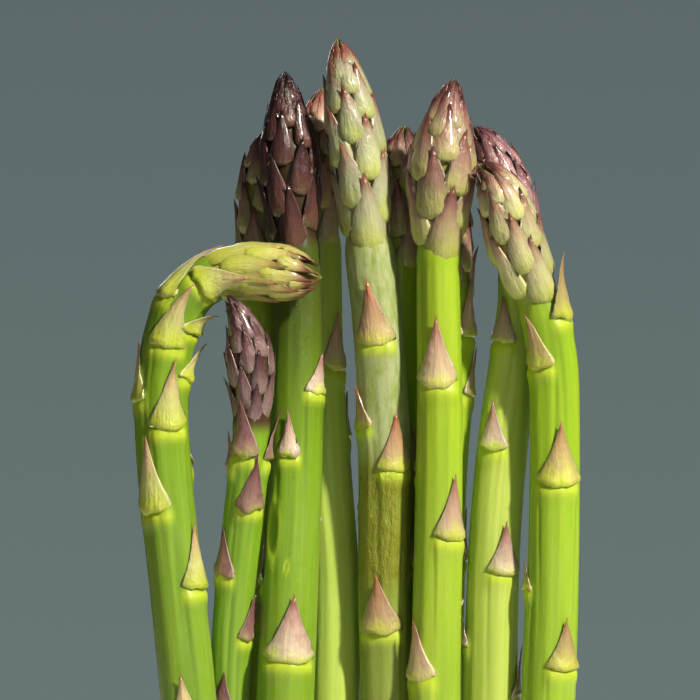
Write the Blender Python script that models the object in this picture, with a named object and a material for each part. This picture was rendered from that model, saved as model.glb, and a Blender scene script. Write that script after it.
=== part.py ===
"""A tied bundle of asparagus that stands on its cut ends.

Eleven spears lean together, and a plain elastic band holds them low on their stems.
Each spear is one solid: a tapering stem along its own curved path, the broad pointed
bracts that lie against it, and a head of overlapping scales. Lengths are in
millimetres and become metres where Blender takes them. The bundle faces -Y.
"""

import math
from dataclasses import dataclass

import bmesh
import bpy
from mathutils import Vector

MM = 0.001
GOLDEN_ANGLE = 137.5

# Driving sizes of the whole bundle
BAND_HEIGHT = 30.0
BAND_WIDTH = 8.0
BAND_THICKNESS = 1.3
BAND_CLEARANCE = 0.7
BAND_DIRECTIONS = 56
STEM_STEP = 17.0
CUT_LENGTH = 2.0
PATH_STEPS = 10

# Driving proportions of a bract, which lies on the stem
BRACT_ROOT_DEPTH = 2.0
BRACT_THICKNESS = 0.9
BRACT_TIP_LIFT = 1.1

# Driving proportions of a head and its scales
CORE_SHARE = 0.76
SCALE_ROOT_SHARE = 0.45
SCALE_THICKNESS = 1.2
SCALE_TIP_LIFT = 0.5
SCALE_WIDTH_SHARE = 0.31
HEAD_RINGS = (0.15, 0.4, 0.65, 0.85, 1.0)
HEAD_PEAK = 0.42
HEAD_SWELL = (
    (0.0, 0.0), (0.2, 0.55), (HEAD_PEAK, 1.0), (0.6, 0.98), (0.75, 0.86), (0.87, 0.64), (0.95, 0.38), (1.0, 0.06),
)


@dataclass(frozen=True)
class Bract:
    """One broad pointed leaf scale on a stem.

    level is the height of its base, bearing the side it grows on in degrees (0 is
    the front, 90 is +X), length its length along the stem, and wrap half of the
    angle that its base takes of the stem's girth.
    """

    level: float
    bearing: float
    length: float
    wrap: float


@dataclass(frozen=True)
class Spear:
    """One spear: its path from the cut end to the tip, its girth, head and bracts."""

    name: str
    path: tuple
    foot_radius: float
    neck_radius: float
    head_length: float
    head_radius: float
    scales: int
    scale_length: float
    turn: float
    colour: tuple
    bracts: tuple


def spiral(start, step, count, turn, length=15.0, wrap=42.0):
    """Bracts up a stem whose own are hidden, each a golden angle round from the last."""
    return tuple(
        Bract(start + step * number, (turn + GOLDEN_ANGLE * number) % 360.0, length, wrap)
        for number in range(count)
    )


FRESH_GREEN = (0.36, 0.56, 0.05)
YELLOW_GREEN = (0.45, 0.60, 0.10)
GREY_GREEN = (0.42, 0.47, 0.22)
DEEP_GREEN = (0.27, 0.47, 0.05)
BAND_TAN = (0.58, 0.38, 0.18)

SPEARS = (
    Spear(
        "bent_left",
        ((-37.5, -7, 0), (-39.4, -6.6, 30), (-42.2, -6, 62), (-45.3, -5.5, 92), (-47.9, -5, 117),
         (-48.9, -4.5, 136), (-47.4, -4.5, 150.5), (-43.9, -5, 160.6), (-37.4, -5.8, 167),
         (-28.5, -6.8, 168.9), (-19, -7.8, 168.5), (-9, -8.5, 167.2)),
        7.3, 6.1, 31.0, 6.7, 13, 13.0, 20.0, YELLOW_GREEN,
        (Bract(9, 150, 13, 40), Bract(52.5, -4, 18, 44), Bract(72, 190, 15, 42), Bract(88.8, 56, 18, 42),
         Bract(99, 170, 15, 42), Bract(108.8, -36, 20, 46), Bract(119, 140, 15, 42), Bract(128.8, 20, 19.5, 44),
         Bract(136, -76, 15.5, 42), Bract(142, 95, 12, 40), Bract(149.5, 0, 19, 45), Bract(150, -150, 14, 42)),
    ),
    Spear(
        "short_purple",
        ((-33.3, 6.9, 0), (-33.2, 5.5, 30), (-32.6, 2.5, 62), (-31.2, -1.5, 86.5), (-28.8, -5.5, 108),
         (-27.2, -8, 122), (-26.4, -9.5, 137), (-27.3, -11, 149.5), (-29.5, -12, 158), (-32.6, -12.7, 163)),
        5.2, 4.5, 36.0, 6.7, 18, 10.5, 10.0, DEEP_GREEN,
        (Bract(10, -100, 12, 42), Bract(46, -160, 12, 42), Bract(58, -20, 13, 44), Bract(77.5, 62, 13, 44),
         Bract(85, 170, 13, 42), Bract(93.3, -48, 14, 46), Bract(103, 165, 13, 42), Bract(110.5, 22, 14.8, 48),
         Bract(120, -80, 10, 42), Bract(121.8, 95, 10.5, 42)),
    ),
    Spear(
        "tall_dark",
        ((-21.5, -3.5, 0), (-20.2, -3, 30), (-18.6, -2, 62), (-17.4, -0.5, 87), (-16.3, 2.3, 115),
         (-15.6, 4.8, 145), (-15.5, 6, 165), (-16.6, 6.8, 185), (-17.6, 7.2, 200), (-18.8, 7.4, 220)),
        7.8, 6.0, 47.0, 8.1, 19, 13.5, 0.0, DEEP_GREEN,
        (Bract(8, -60, 15, 42), Bract(46, 200, 15, 42), Bract(71.3, 8, 17.5, 58), Bract(90, -120, 15, 42),
         Bract(105, 150, 15, 42), Bract(121.8, -12, 12.5, 26), Bract(138, 60, 11, 42), Bract(150, 180, 14, 42)),
    ),
    Spear(
        "back_left",
        ((-22.5, 14, 0), (-23.6, 13.2, 30), (-25, 13, 62), (-25.4, 14, 100), (-25.2, 15.8, 135),
         (-25, 18, 165), (-24.8, 19.5, 185), (-23.6, 20, 206)),
        6.7, 5.8, 40.0, 6.9, 15, 13.0, 70.0, DEEP_GREEN,
        (Bract(8, 200, 14, 42), *spiral(42, 19, 6, 110)),
    ),
    Spear(
        "back_centre",
        ((-7, 7.5, 0), (-6.7, 7.8, 30), (-6.3, 8.5, 62), (-6.3, 11.3, 92), (-8, 14.1, 115),
         (-9.6, 16.6, 138), (-10.2, 18.8, 165), (-10.2, 21, 190), (-9.2, 21.5, 217)),
        6.9, 5.7, 42.0, 6.7, 15, 13.5, 40.0, FRESH_GREEN,
        (Bract(7, 200, 15, 42), Bract(44, 70, 14, 40), Bract(66, -150, 15, 42), Bract(90, 130, 15, 42),
         Bract(108, -170, 15, 42), Bract(126, 110, 14, 42), Bract(143.5, 44, 16, 42), Bract(158, 180, 15, 42)),
    ),
    Spear(
        "tall_centre",
        ((6, 1, 0), (6.4, 1.5, 30), (7, 2, 62), (6.4, 2, 90), (6.7, 2, 117), (5.9, 2, 140), (4.5, 2, 158),
         (3, 2, 171), (1.8, 2, 182), (-0.4, 2, 199.5), (-2.6, 2, 212.5), (-5.5, 2, 227.5)),
        7.0, 6.2, 55.0, 7.4, 18, 16.0, 5.0, GREY_GREEN,
        (Bract(9, 80, 14, 42), Bract(48, -35, 15, 42), Bract(61, 160, 15, 42), Bract(78.5, -12, 15.8, 50),
         Bract(94, 130, 15, 42), Bract(108, -140, 15, 42), Bract(118.8, 24, 15.3, 45), Bract(129.5, -66, 12, 40),
         Bract(140, 160, 15, 42), Bract(150.3, -9, 17.5, 48)),
    ),
    Spear(
        "back_right",
        ((8.5, 16.5, 0), (9.6, 16.8, 30), (10.8, 17, 62), (11, 16.5, 100), (10.8, 16, 140),
         (10.8, 16, 170), (11, 16.5, 190), (11.8, 17, 207)),
        6.4, 5.5, 38.0, 6.6, 15, 13.0, 25.0, FRESH_GREEN,
        (Bract(7, 170, 15, 42), *spiral(45, 19, 6, 180)),
    ),
    Spear(
        "right_centre",
        ((18.5, -8, 0), (18.6, -7, 30), (18.8, -6, 62), (19.6, -5.5, 97), (20.2, -5, 135),
         (19.8, -4.5, 170), (20, -4, 184), (20.8, -4, 197), (22.2, -4, 209), (23.8, -4, 217)),
        6.8, 5.3, 47.0, 8.6, 18, 15.0, 18.0, FRESH_GREEN,
        (Bract(8, 20, 15, 42), Bract(46, 100, 15, 42), Bract(67.5, -50, 15.5, 50), Bract(85, 150, 15, 42),
         Bract(102, 34, 17.3, 48), Bract(118, -140, 15, 42), Bract(139.8, -11, 18.3, 56), Bract(152, 150, 14, 42)),
    ),
    Spear(
        "behind_right",
        ((20, 9.5, 0), (20, 9, 30), (20.2, 8.3, 62), (20.8, 8, 100), (21.5, 8, 121), (23, 8.5, 141),
         (23.4, 9.6, 160), (23, 11.2, 175), (22.3, 12.5, 194)),
        6.1, 5.4, 33.0, 6.3, 14, 12.0, 90.0, FRESH_GREEN,
        (Bract(10, 20, 13, 42), Bract(48, 20, 14, 42), Bract(72, 190, 14, 42), Bract(96, 110, 14, 42),
         Bract(118, 200, 14, 42), Bract(137.5, 72, 13, 40), Bract(152, 50, 15, 40)),
    ),
    Spear(
        "right_purple",
        ((32, 1.5, 0), (32.3, 1.8, 30), (32.8, 2.2, 62), (33.8, 2.6, 99), (35.8, 3.4, 125),
         (38.6, 4.6, 146), (40.8, 5.6, 163), (39.8, 6.2, 177.5), (36.8, 6.4, 191.5), (32.8, 6, 200.5),
         (28.8, 5, 205.8)),
        7.3, 5.8, 43.0, 7.3, 20, 11.5, 60.0, FRESH_GREEN,
        (Bract(7, 110, 15, 42), Bract(44, -20, 15, 42), Bract(62, 85, 14, 40), Bract(75, -84, 8, 30),
         Bract(93, 24, 14.3, 40), Bract(108, 160, 15, 42), Bract(123.5, -28, 13.2, 38), Bract(136, 120, 14, 42),
         Bract(150, -40, 13, 38)),
    ),
    Spear(
        "right_curved",
        ((45, -8, 0), (46, -6.5, 30), (47, -5, 62), (47.9, -4.6, 87), (48.4, -4.6, 112), (48.4, -5, 130),
         (47.9, -5.6, 146), (45.4, -7, 158.5), (41.8, -8.4, 167.5), (38.6, -9.6, 176), (36, -10.6, 185),
         (32.9, -11.3, 191.5), (29, -11.6, 195.3)),
        7.1, 5.9, 43.0, 7.2, 18, 13.0, 30.0, YELLOW_GREEN,
        (Bract(9, -60, 14, 42), Bract(50, 120, 15, 42), Bract(70, 30, 14, 42), Bract(89.5, -80, 8, 28),
         Bract(100, 150, 15, 42), Bract(115.5, 10, 17, 52), Bract(130, 160, 14, 42), Bract(145, -40, 16.5, 42),
         Bract(156, 66, 16, 42)),
    ),
)


class Spine:
    """A smooth path through a spear's points, measured by the distance along it."""

    def __init__(self, points):
        anchors = [Vector(point) for point in points]
        before = 2.0 * anchors[0] - anchors[1]
        after = 2.0 * anchors[-1] - anchors[-2]
        chain = [before, *anchors, after]
        self.points = []
        for index in range(1, len(chain) - 2):
            for step in range(PATH_STEPS):
                self.points.append(blend_point(chain[index - 1:index + 3], step / PATH_STEPS))
        self.points.append(anchors[-1])
        self.marks = [0.0]
        for low, high in zip(self.points, self.points[1:]):
            self.marks.append(self.marks[-1] + (high - low).length)
        self.length = self.marks[-1]

    def locate(self, distance):
        """The index of the stretch that holds a distance, and the share of it passed."""
        distance = min(max(distance, 0.0), self.length)
        for index in range(1, len(self.marks)):
            if distance <= self.marks[index]:
                span = self.marks[index] - self.marks[index - 1]
                return index - 1, (distance - self.marks[index - 1]) / span
        return len(self.marks) - 2, 1.0

    def point(self, distance):
        """The point of the path at a distance from the cut end."""
        index, share = self.locate(distance)
        return self.points[index].lerp(self.points[index + 1], share)

    def frame(self, distance):
        """The point, the direction of growth, the front and the right side there."""
        reach = 1.5
        growth = (self.point(distance + reach) - self.point(distance - reach)).normalized()
        toward_viewer = Vector((0.0, -1.0, 0.0))
        front = (toward_viewer - growth * toward_viewer.dot(growth)).normalized()
        return self.point(distance), growth, front, growth.cross(front)

    def distance_at_level(self, level):
        """How far along the path it first reaches a height."""
        for index in range(1, len(self.points)):
            low, high = self.points[index - 1].z, self.points[index].z
            if low <= level <= high:
                share = (level - low) / (high - low)
                return self.marks[index - 1] + share * (self.marks[index] - self.marks[index - 1])
        return self.length

    def surface(self, distance, bearing, radius):
        """The point at a bearing and a radius round the path."""
        centre, _, front, side = self.frame(distance)
        angle = math.radians(bearing)
        return centre + (front * math.cos(angle) + side * math.sin(angle)) * radius


def blend_point(four, share):
    """A point of the Catmull-Rom curve between the two middle points of four."""
    first, second, third, fourth = four
    linear = (third - first) * 0.5
    square = first - 2.5 * second + 2.0 * third - 0.5 * fourth
    cubic = (fourth - first) * 0.5 + 1.5 * (second - third)
    return second + linear * share + square * share ** 2 + cubic * share ** 3


def read_profile(profile, share):
    """A value read from a profile of (share, value) points."""
    for (low, low_value), (high, high_value) in zip(profile, profile[1:]):
        if share <= high:
            return low_value + (high_value - low_value) * (share - low) / (high - low)
    return profile[-1][1]


def stem_radius(spear, spine, distance):
    """The stem's radius at a distance, thick at the foot and slim at the neck."""
    share = min(distance / (spine.length - spear.head_length), 1.0)
    return spear.foot_radius + (spear.neck_radius - spear.foot_radius) * share


def head_radius(spear, share):
    """The outline's radius at a share of the head's length from its neck."""
    swell = read_profile(HEAD_SWELL, share)
    if share < HEAD_PEAK:
        return spear.neck_radius + (spear.head_radius - spear.neck_radius) * swell
    return spear.head_radius * swell


def clear_scene():
    """Remove what the file already holds."""
    for thing in list(bpy.data.objects):
        bpy.data.objects.remove(thing, do_unlink=True)


def plain_material(name, colour, roughness):
    """A Principled material of one colour."""
    material = bpy.data.materials.new(name)
    material.use_nodes = True
    shader = material.node_tree.nodes["Principled BSDF"]
    shader.inputs["Base Color"].default_value = (*colour, 1.0)
    shader.inputs["Roughness"].default_value = roughness
    shader.inputs["Metallic"].default_value = 0.0
    material.diffuse_color = (*colour, 1.0)
    return material


def hull_object(name, points, collection):
    """A closed faceted solid: the convex hull of points in millimetres."""
    form = bmesh.new()
    for point in points:
        form.verts.new(point * MM)
    found = bmesh.ops.convex_hull(form, input=form.verts)
    unused = {item for item in found["geom_interior"] + found["geom_unused"] if isinstance(item, bmesh.types.BMVert)}
    bmesh.ops.delete(form, geom=list(unused), context="VERTS")
    bmesh.ops.recalc_face_normals(form, faces=form.faces)
    mesh = bpy.data.meshes.new(name)
    form.to_mesh(mesh)
    form.free()
    solid = bpy.data.objects.new(name, mesh)
    collection.objects.link(solid)
    return solid


def bract_points(spear, spine, bract):
    """The corners of a bract: a raised collar, flanks that narrow, and a lifted tip."""
    base = spine.distance_at_level(bract.level)
    rows = (
        (0.0, (-1.0, 0.0, 1.0), 0.1),
        (0.1, (-1.0, -0.45, 0.45, 1.0), BRACT_THICKNESS),
        (0.45, (-0.66, 0.0, 0.66), BRACT_THICKNESS * 1.1),
    )
    points = []
    for share, spreads, lift in rows:
        distance = base + bract.length * share
        radius = stem_radius(spear, spine, distance)
        for spread in spreads:
            bearing = bract.bearing + spread * bract.wrap
            points.append(spine.surface(distance, bearing, radius + lift * (1.0 - 0.35 * spread ** 2)))
    top = base + bract.length
    neck = stem_radius(spear, spine, top)
    points.append(spine.surface(top, bract.bearing, neck + BRACT_TIP_LIFT))
    points.append(spine.surface(top - 1.5, bract.bearing, neck - BRACT_ROOT_DEPTH))
    for side in (-0.8, 0.8):
        points.append(spine.surface(base + 1.0, bract.bearing + side * bract.wrap, neck - BRACT_ROOT_DEPTH))
    return points


def scale_points(spear, spine, number):
    """The corners of one head scale: a sunk root, a wide middle and a pointed tip."""
    rise = number / (spear.scales - 1)
    length = spear.scale_length * (1.0 - 0.42 * rise)
    start = (spear.head_length - length) * (1.0 - (1.0 - rise) ** 1.2)
    neck = spine.length - spear.head_length
    bearing = spear.turn + GOLDEN_ANGLE * number

    def outline(share):
        return head_radius(spear, min((start + length * share) / spear.head_length, 1.0))

    def place(share, spread, radius):
        return spine.surface(neck + start + length * share, bearing + spread, radius)

    middle = outline(0.42)
    width = math.degrees(length * SCALE_WIDTH_SHARE / max(middle, 2.0))
    points = [place(0.0, 0.0, outline(0.0) * SCALE_ROOT_SHARE)]
    for side in (-1.0, 1.0):
        points.append(place(0.42, side * width, middle - SCALE_THICKNESS))
        points.append(place(0.75, side * width * 0.55, outline(0.75) - 0.3 * SCALE_THICKNESS))
    points.append(place(0.42, 0.0, middle))
    points.append(place(0.75, 0.0, outline(0.75) + SCALE_TIP_LIFT * 0.6))
    points.append(place(1.0, 0.0, outline(1.0) + SCALE_TIP_LIFT))
    points.append(place(0.8, 0.0, max(outline(0.8) - 2.0, 0.2)))
    return points


def stem_object(spear, spine, collection):
    """The stem and the head's core as one capped tube that tapers along the path."""
    neck = spine.length - spear.head_length
    foot = spine.point(0.0)
    rings = [(foot, spear.foot_radius), (foot + Vector((0.0, 0.0, CUT_LENGTH)), spear.foot_radius)]
    count = round((neck - CUT_LENGTH) / STEM_STEP)
    for number in range(1, count + 1):
        distance = CUT_LENGTH + (neck - CUT_LENGTH) * number / count
        rings.append((spine.point(distance), stem_radius(spear, spine, distance)))
    for share in HEAD_RINGS:
        distance = neck + spear.head_length * share
        rings.append((spine.point(distance), max(head_radius(spear, share) * CORE_SHARE, 0.4)))
    curve = bpy.data.curves.new(spear.name, "CURVE")
    curve.dimensions = "3D"
    curve.bevel_depth = MM
    curve.bevel_resolution = 2
    curve.use_fill_caps = True
    line = curve.splines.new("POLY")
    line.points.add(len(rings) - 1)
    for knot, (point, radius) in zip(line.points, rings):
        knot.co = (*(point * MM), 1.0)
        knot.radius = radius
    guide = bpy.data.objects.new(spear.name + "_path", curve)
    collection.objects.link(guide)
    stem = mesh_copy(guide, spear.name)
    weld(stem.data)
    collection.objects.link(stem)
    bpy.data.objects.remove(guide, do_unlink=True)
    return stem


def mesh_copy(source, name):
    """A plain mesh object of what another object evaluates to."""
    bpy.context.view_layer.update()
    graph = bpy.context.evaluated_depsgraph_get()
    mesh = bpy.data.meshes.new_from_object(source.evaluated_get(graph))
    copy = bpy.data.objects.new(name, mesh)
    copy.matrix_world = source.matrix_world
    return copy


def weld(mesh):
    """Close a tube's loose caps."""
    form = bmesh.new()
    form.from_mesh(mesh)
    bmesh.ops.remove_doubles(form, verts=form.verts, dist=0.00001)
    bmesh.ops.recalc_face_normals(form, faces=form.faces)
    form.to_mesh(mesh)
    form.free()


def fuse(body, growths, collection):
    """Join a collection's solids to a body in one union, and remove them."""
    union = body.modifiers.new("growths", "BOOLEAN")
    union.operation = "UNION"
    union.solver = "MANIFOLD"
    union.operand_type = "COLLECTION"
    union.collection = growths
    whole = mesh_copy(body, body.name + "_whole")
    body.modifiers.remove(union)
    body.data = whole.data
    bpy.data.objects.remove(whole, do_unlink=True)
    for growth in list(growths.objects):
        bpy.data.objects.remove(growth, do_unlink=True)
    bpy.data.collections.remove(growths)


def grow_spear(spear, bundle):
    """Build one spear: its stem, its bracts and its head scales in one solid."""
    spine = Spine(spear.path)
    stem = stem_object(spear, spine, bundle)
    growths = bpy.data.collections.new(spear.name + "_growths")
    bpy.context.scene.collection.children.link(growths)
    for number, bract in enumerate(spear.bracts):
        hull_object(f"{spear.name}_bract_{number}", bract_points(spear, spine, bract), growths)
    for number in range(spear.scales):
        hull_object(f"{spear.name}_scale_{number}", scale_points(spear, spine, number), growths)
    fuse(stem, growths, bundle)
    stem.data.materials.clear()
    stem.data.materials.append(plain_material(spear.name, spear.colour, 0.4))
    stem.data.shade_smooth()
    stem.data.set_sharp_from_angle(angle=math.radians(40.0))
    return stem


def band_object(bundle):
    """The elastic band: an upright strip drawn tight round the outer stems."""
    circles = []
    for spear in SPEARS:
        spine = Spine(spear.path)
        centre = spine.point(spine.distance_at_level(BAND_HEIGHT))
        circles.append((centre, stem_radius(spear, spine, BAND_HEIGHT)))
    form = bmesh.new()
    loops = []
    for offset, level in ((0.0, -0.5), (BAND_THICKNESS, -0.5), (BAND_THICKNESS, 0.5), (0.0, 0.5)):
        loop = []
        for step in range(BAND_DIRECTIONS):
            angle = 2.0 * math.pi * step / BAND_DIRECTIONS
            outward = Vector((math.cos(angle), math.sin(angle), 0.0))
            centre, radius = max(circles, key=lambda circle: circle[0].dot(outward) + circle[1])
            point = centre + outward * (radius + BAND_CLEARANCE + offset)
            point.z = BAND_HEIGHT + level * BAND_WIDTH
            loop.append(form.verts.new(point * MM))
        loops.append(loop)
    for low, high in zip(loops, loops[1:] + loops[:1]):
        for step in range(BAND_DIRECTIONS):
            after = (step + 1) % BAND_DIRECTIONS
            form.faces.new((low[step], low[after], high[after], high[step]))
    bmesh.ops.recalc_face_normals(form, faces=form.faces)
    mesh = bpy.data.meshes.new("band")
    form.to_mesh(mesh)
    form.free()
    band = bpy.data.objects.new("band", mesh)
    bundle.objects.link(band)
    mesh.materials.append(plain_material("band", BAND_TAN, 0.6))
    mesh.shade_smooth()
    mesh.set_sharp_from_angle(angle=math.radians(50.0))
    return band


def centre_on_floor(pieces):
    """Move every piece alike, so that the bundle's box stands centred on the origin."""
    corners = [vertex.co for piece in pieces for vertex in piece.data.vertices]
    middle = [(min(c[axis] for c in corners) + max(c[axis] for c in corners)) / 2.0 for axis in (0, 1)]
    shift = Vector((-middle[0], -middle[1], 0.0))
    for piece in pieces:
        for vertex in piece.data.vertices:
            vertex.co += shift


def main():
    """Build the bundle."""
    clear_scene()
    bundle = bpy.data.collections.new("asparagus_bundle")
    bpy.context.scene.collection.children.link(bundle)
    pieces = [grow_spear(spear, bundle) for spear in SPEARS]
    pieces.append(band_object(bundle))
    centre_on_floor(pieces)
    for piece in pieces:
        print(piece.name, len(piece.data.polygons))


main()
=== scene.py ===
"""Looks of a tied bundle of asparagus that stands on its cut ends.

Every CAD spear is replaced by a fine stem, its bracts and its head scales, laid on the same
path and from the same sizes. Geometry Nodes wrap the bracts and scales round the stem. Sizes
here are in millimetres and become metres where Blender takes them; the bundle faces -Y.
"""

import logging
import math
from dataclasses import dataclass, field
from enum import Enum
from typing import Any

import bmesh
import bpy
import numpy as np
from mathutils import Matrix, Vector


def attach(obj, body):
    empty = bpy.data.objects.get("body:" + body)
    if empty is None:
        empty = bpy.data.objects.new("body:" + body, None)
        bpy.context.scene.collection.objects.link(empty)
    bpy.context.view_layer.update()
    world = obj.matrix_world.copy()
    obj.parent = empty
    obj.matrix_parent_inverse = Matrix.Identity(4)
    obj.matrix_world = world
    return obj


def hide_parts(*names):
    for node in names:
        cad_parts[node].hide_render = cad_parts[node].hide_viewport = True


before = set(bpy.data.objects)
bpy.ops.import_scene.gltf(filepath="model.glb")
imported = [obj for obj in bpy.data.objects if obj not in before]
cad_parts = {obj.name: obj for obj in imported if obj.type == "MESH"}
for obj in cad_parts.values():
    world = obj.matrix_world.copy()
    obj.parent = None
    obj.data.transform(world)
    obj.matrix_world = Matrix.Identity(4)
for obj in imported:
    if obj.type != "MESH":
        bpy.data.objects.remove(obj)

LOG = logging.getLogger("asparagus")
MM = 0.001
BODY = "root"
GOLDEN_ANGLE = 137.5
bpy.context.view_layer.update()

# The photograph's view: its scale, and where a level camera stands, in millimetres
MM_PER_PIXEL = 0.25
IMAGE_SIZE = 700
CAMERA_DISTANCE = 700.0
CAMERA_PLACE = (-1.69, -705.36, 149.5)
SENSOR_WIDTH = 36.0


class Leaf(Enum):
    """The two kinds of leaf on a spear."""

    BRACT = "bract"
    SCALE = "scale"


class Skin(Enum):
    """The look of one spear's skin and leaves."""

    FRESH = "fresh"
    BENT = "bent"
    CURVED = "curved"
    DULL = "dull"
    DARK = "dark"
    SHORT = "short"
    PINK = "pink"
    PALE = "pale"


# Steps that are more than arithmetic: their node, its inputs' places, its output's, its settings
STEPS = {
    "BLEND": ("ShaderNodeMix", (0, 6, 7), 2, {"data_type": "RGBA"}),
    "BUMP": ("ShaderNodeBump", ("Height", "Strength", "Distance", "Normal"), 0, {}),
    "CELLS": ("ShaderNodeTexVoronoi", ("Vector", "Scale"), 0, {}),
    "CLAMPED DIVIDE": ("ShaderNodeMath", (0, 1), 0, {"operation": "DIVIDE", "use_clamp": True}),
    "CLAMPED SUBTRACT": ("ShaderNodeMath", (0, 1), 0, {"operation": "SUBTRACT", "use_clamp": True}),
    "CLOUD": ("ShaderNodeTexNoise", ("Vector", "Scale", "Detail", "Roughness"), 0, {}),
    "CROSS": ("ShaderNodeVectorMath", (0, 1), 0, {"operation": "CROSS_PRODUCT"}),
    "DOT": ("ShaderNodeVectorMath", (0, 1), 1, {"operation": "DOT_PRODUCT"}),
    "EASE": ("ShaderNodeMapRange", range(5), 0, {"interpolation_type": "SMOOTHSTEP"}),
    "JOIN": ("ShaderNodeCombineXYZ", range(3), 0, {}),
    "PLACE": ("ShaderNodeTexCoord", (), 3, {}),
    "RAMP": ("ShaderNodeValToRGB", ("Fac",), 0, {}),
    "RANGE": ("ShaderNodeMapRange", range(5), 0, {}),
    "SCALE": ("ShaderNodeVectorMath", (0, 3), 0, {"operation": "SCALE"}),
    "STRETCH": ("ShaderNodeMapping", ("Vector", "Scale"), 0, {}),
    "UNIT": ("ShaderNodeVectorMath", (0,), 0, {"operation": "NORMALIZE"}),
    "VECTOR ADD": ("ShaderNodeVectorMath", (0, 1), 0, {"operation": "ADD"}),
    "VECTOR SUBTRACT": ("ShaderNodeVectorMath", (0, 1), 0, {"operation": "SUBTRACT"}),
}


def linear(code: str) -> tuple[float, float, float, float]:
    """Turn an sRGB hex colour into linear light.

    Args:
        code: Six hex digits after a hash.

    Returns:
        Red, green, blue and an alpha of 1.
    """
    values = [int(code[place:place + 2], 16) / 255.0 for place in (1, 3, 5)]
    return (*[v / 12.92 if v <= 0.04045 else ((v + 0.055) / 1.055) ** 2.4 for v in values], 1.0)


def connect(tree: bpy.types.NodeTree, node: bpy.types.Node, inputs: dict[Any, Any]) -> None:
    """Fill a node's inputs.

    Args:
        tree: The node's tree.
        node: The node.
        inputs: What goes into each socket: another socket is linked, and a value is set.
    """
    for key, value in inputs.items():
        if isinstance(value, bpy.types.NodeSocket):
            tree.links.new(value, node.inputs[key])
        else:
            node.inputs[key].default_value = value


def add_node(
    tree: bpy.types.NodeTree, kind: str, inputs: dict[Any, Any] | None = None, **settings: Any,
) -> bpy.types.Node:
    """Add a node with its settings and links.

    Args:
        tree: The node tree to add to.
        kind: The node's type name.
        inputs: What goes into each socket.
        settings: The node's own properties.

    Returns:
        The new node.
    """
    node = tree.nodes.new(kind)
    for name, value in settings.items():
        setattr(node, name, value)
    connect(tree, node, inputs or {})
    return node


def add_steps(tree: bpy.types.NodeTree, known: dict[str, Any], steps: tuple) -> None:
    """Add a chain of nodes that read each other by name.

    Args:
        tree: The node tree to add to.
        known: Sockets, hex colours and values by name. Each step's own output joins them.
        steps: Rows of a new name, what the step does, and its terms, which are known names or
            values. What STEPS doesn't list is the operation of a Math node.
    """
    for name, step, *terms in steps:
        kind, places, output, settings = STEPS.get(step, ("ShaderNodeMath", range(3), 0, {"operation": step}))
        values = [known.get(term, term) for term in terms]
        values = [linear(value) if isinstance(value, str) else value for value in values]
        node = add_node(tree, kind, dict(zip(places, values)), **settings)
        known[name] = node.outputs[output]
        if step == "RAMP":
            stops = node.color_ramp.elements
            while len(stops) < len(known["stops"]):
                stops.new(1.0)
            for stop, (share, colour) in zip(stops, known["stops"]):
                stop.position, stop.color = share, linear(colour)


def link_object(name: str, data: bpy.types.ID) -> bpy.types.Object:
    """Put new data in the scene.

    Args:
        name: The object's name.
        data: Its mesh, curve, light or camera.

    Returns:
        An object at the origin.
    """
    thing = bpy.data.objects.new(name, data)
    bpy.context.scene.collection.objects.link(thing)
    return thing


def write_values(mesh: bpy.types.Mesh, values: dict[str, np.ndarray]) -> None:
    """Keep a number for each of a mesh's points under each name."""
    for name, numbers in values.items():
        mesh.attributes.new(name, "FLOAT", "POINT").data.foreach_set("value", numbers.astype(np.float32))


def ring_faces(rows: int, count: int, closed: bool = False) -> list[tuple[int, ...]]:
    """Join rings of points into four-sided faces.

    Args:
        rows: How many rings there are.
        count: How many points each has.
        closed: Whether the last ring joins the first.

    Returns:
        The faces, ring by ring.
    """
    faces = []
    for row in range(rows if closed else rows - 1):
        low, high = row * count, (row + 1) % rows * count
        for left in range(count):
            right = (left + 1) % count
            faces.append((low + left, low + right, high + right, high + left))
    return faces


def profile(points: tuple, shares: np.ndarray) -> np.ndarray:
    """Read a profile of (share, value) points at many shares."""
    return np.interp(shares, [share for share, _ in points], [value for _, value in points])


def smooth_step(low: float, high: float, values: np.ndarray) -> np.ndarray:
    """Ease from 0 at the low value to 1 at the high one."""
    share = np.clip((values - low) / (high - low), 0.0, 1.0)
    return share * share * (3.0 - 2.0 * share)


def bell(values: np.ndarray, middle: float, width: float) -> np.ndarray:
    """Rise to 1 at the middle value and fall to about a third a width away."""
    return np.exp(-((values - middle) / width) ** 2)


def from_bearing(around: np.ndarray, bearing: float) -> np.ndarray:
    """The angle from a bearing in degrees to each of many angles in radians, at most half a turn."""
    return (around - math.radians(bearing) + math.pi) % (2.0 * math.pi) - math.pi


@dataclass(frozen=True)
class Bract:
    """One broad pointed leaf on a stem.

    level is the height of its base, bearing the side it grows on (0 front, 90 +X), length its
    length along the stem, wrap half of the angle its base takes, and lift its tip's distance
    from the stem.
    """

    level: float
    bearing: float
    length: float
    wrap: float = 42.0
    lift: float = 0.7


@dataclass(frozen=True)
class Scar:
    """A healed nick in a stem: its level, bearing in degrees, half length, half width and depth."""

    level: float
    bearing: float
    length: float
    width: float
    depth: float


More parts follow.
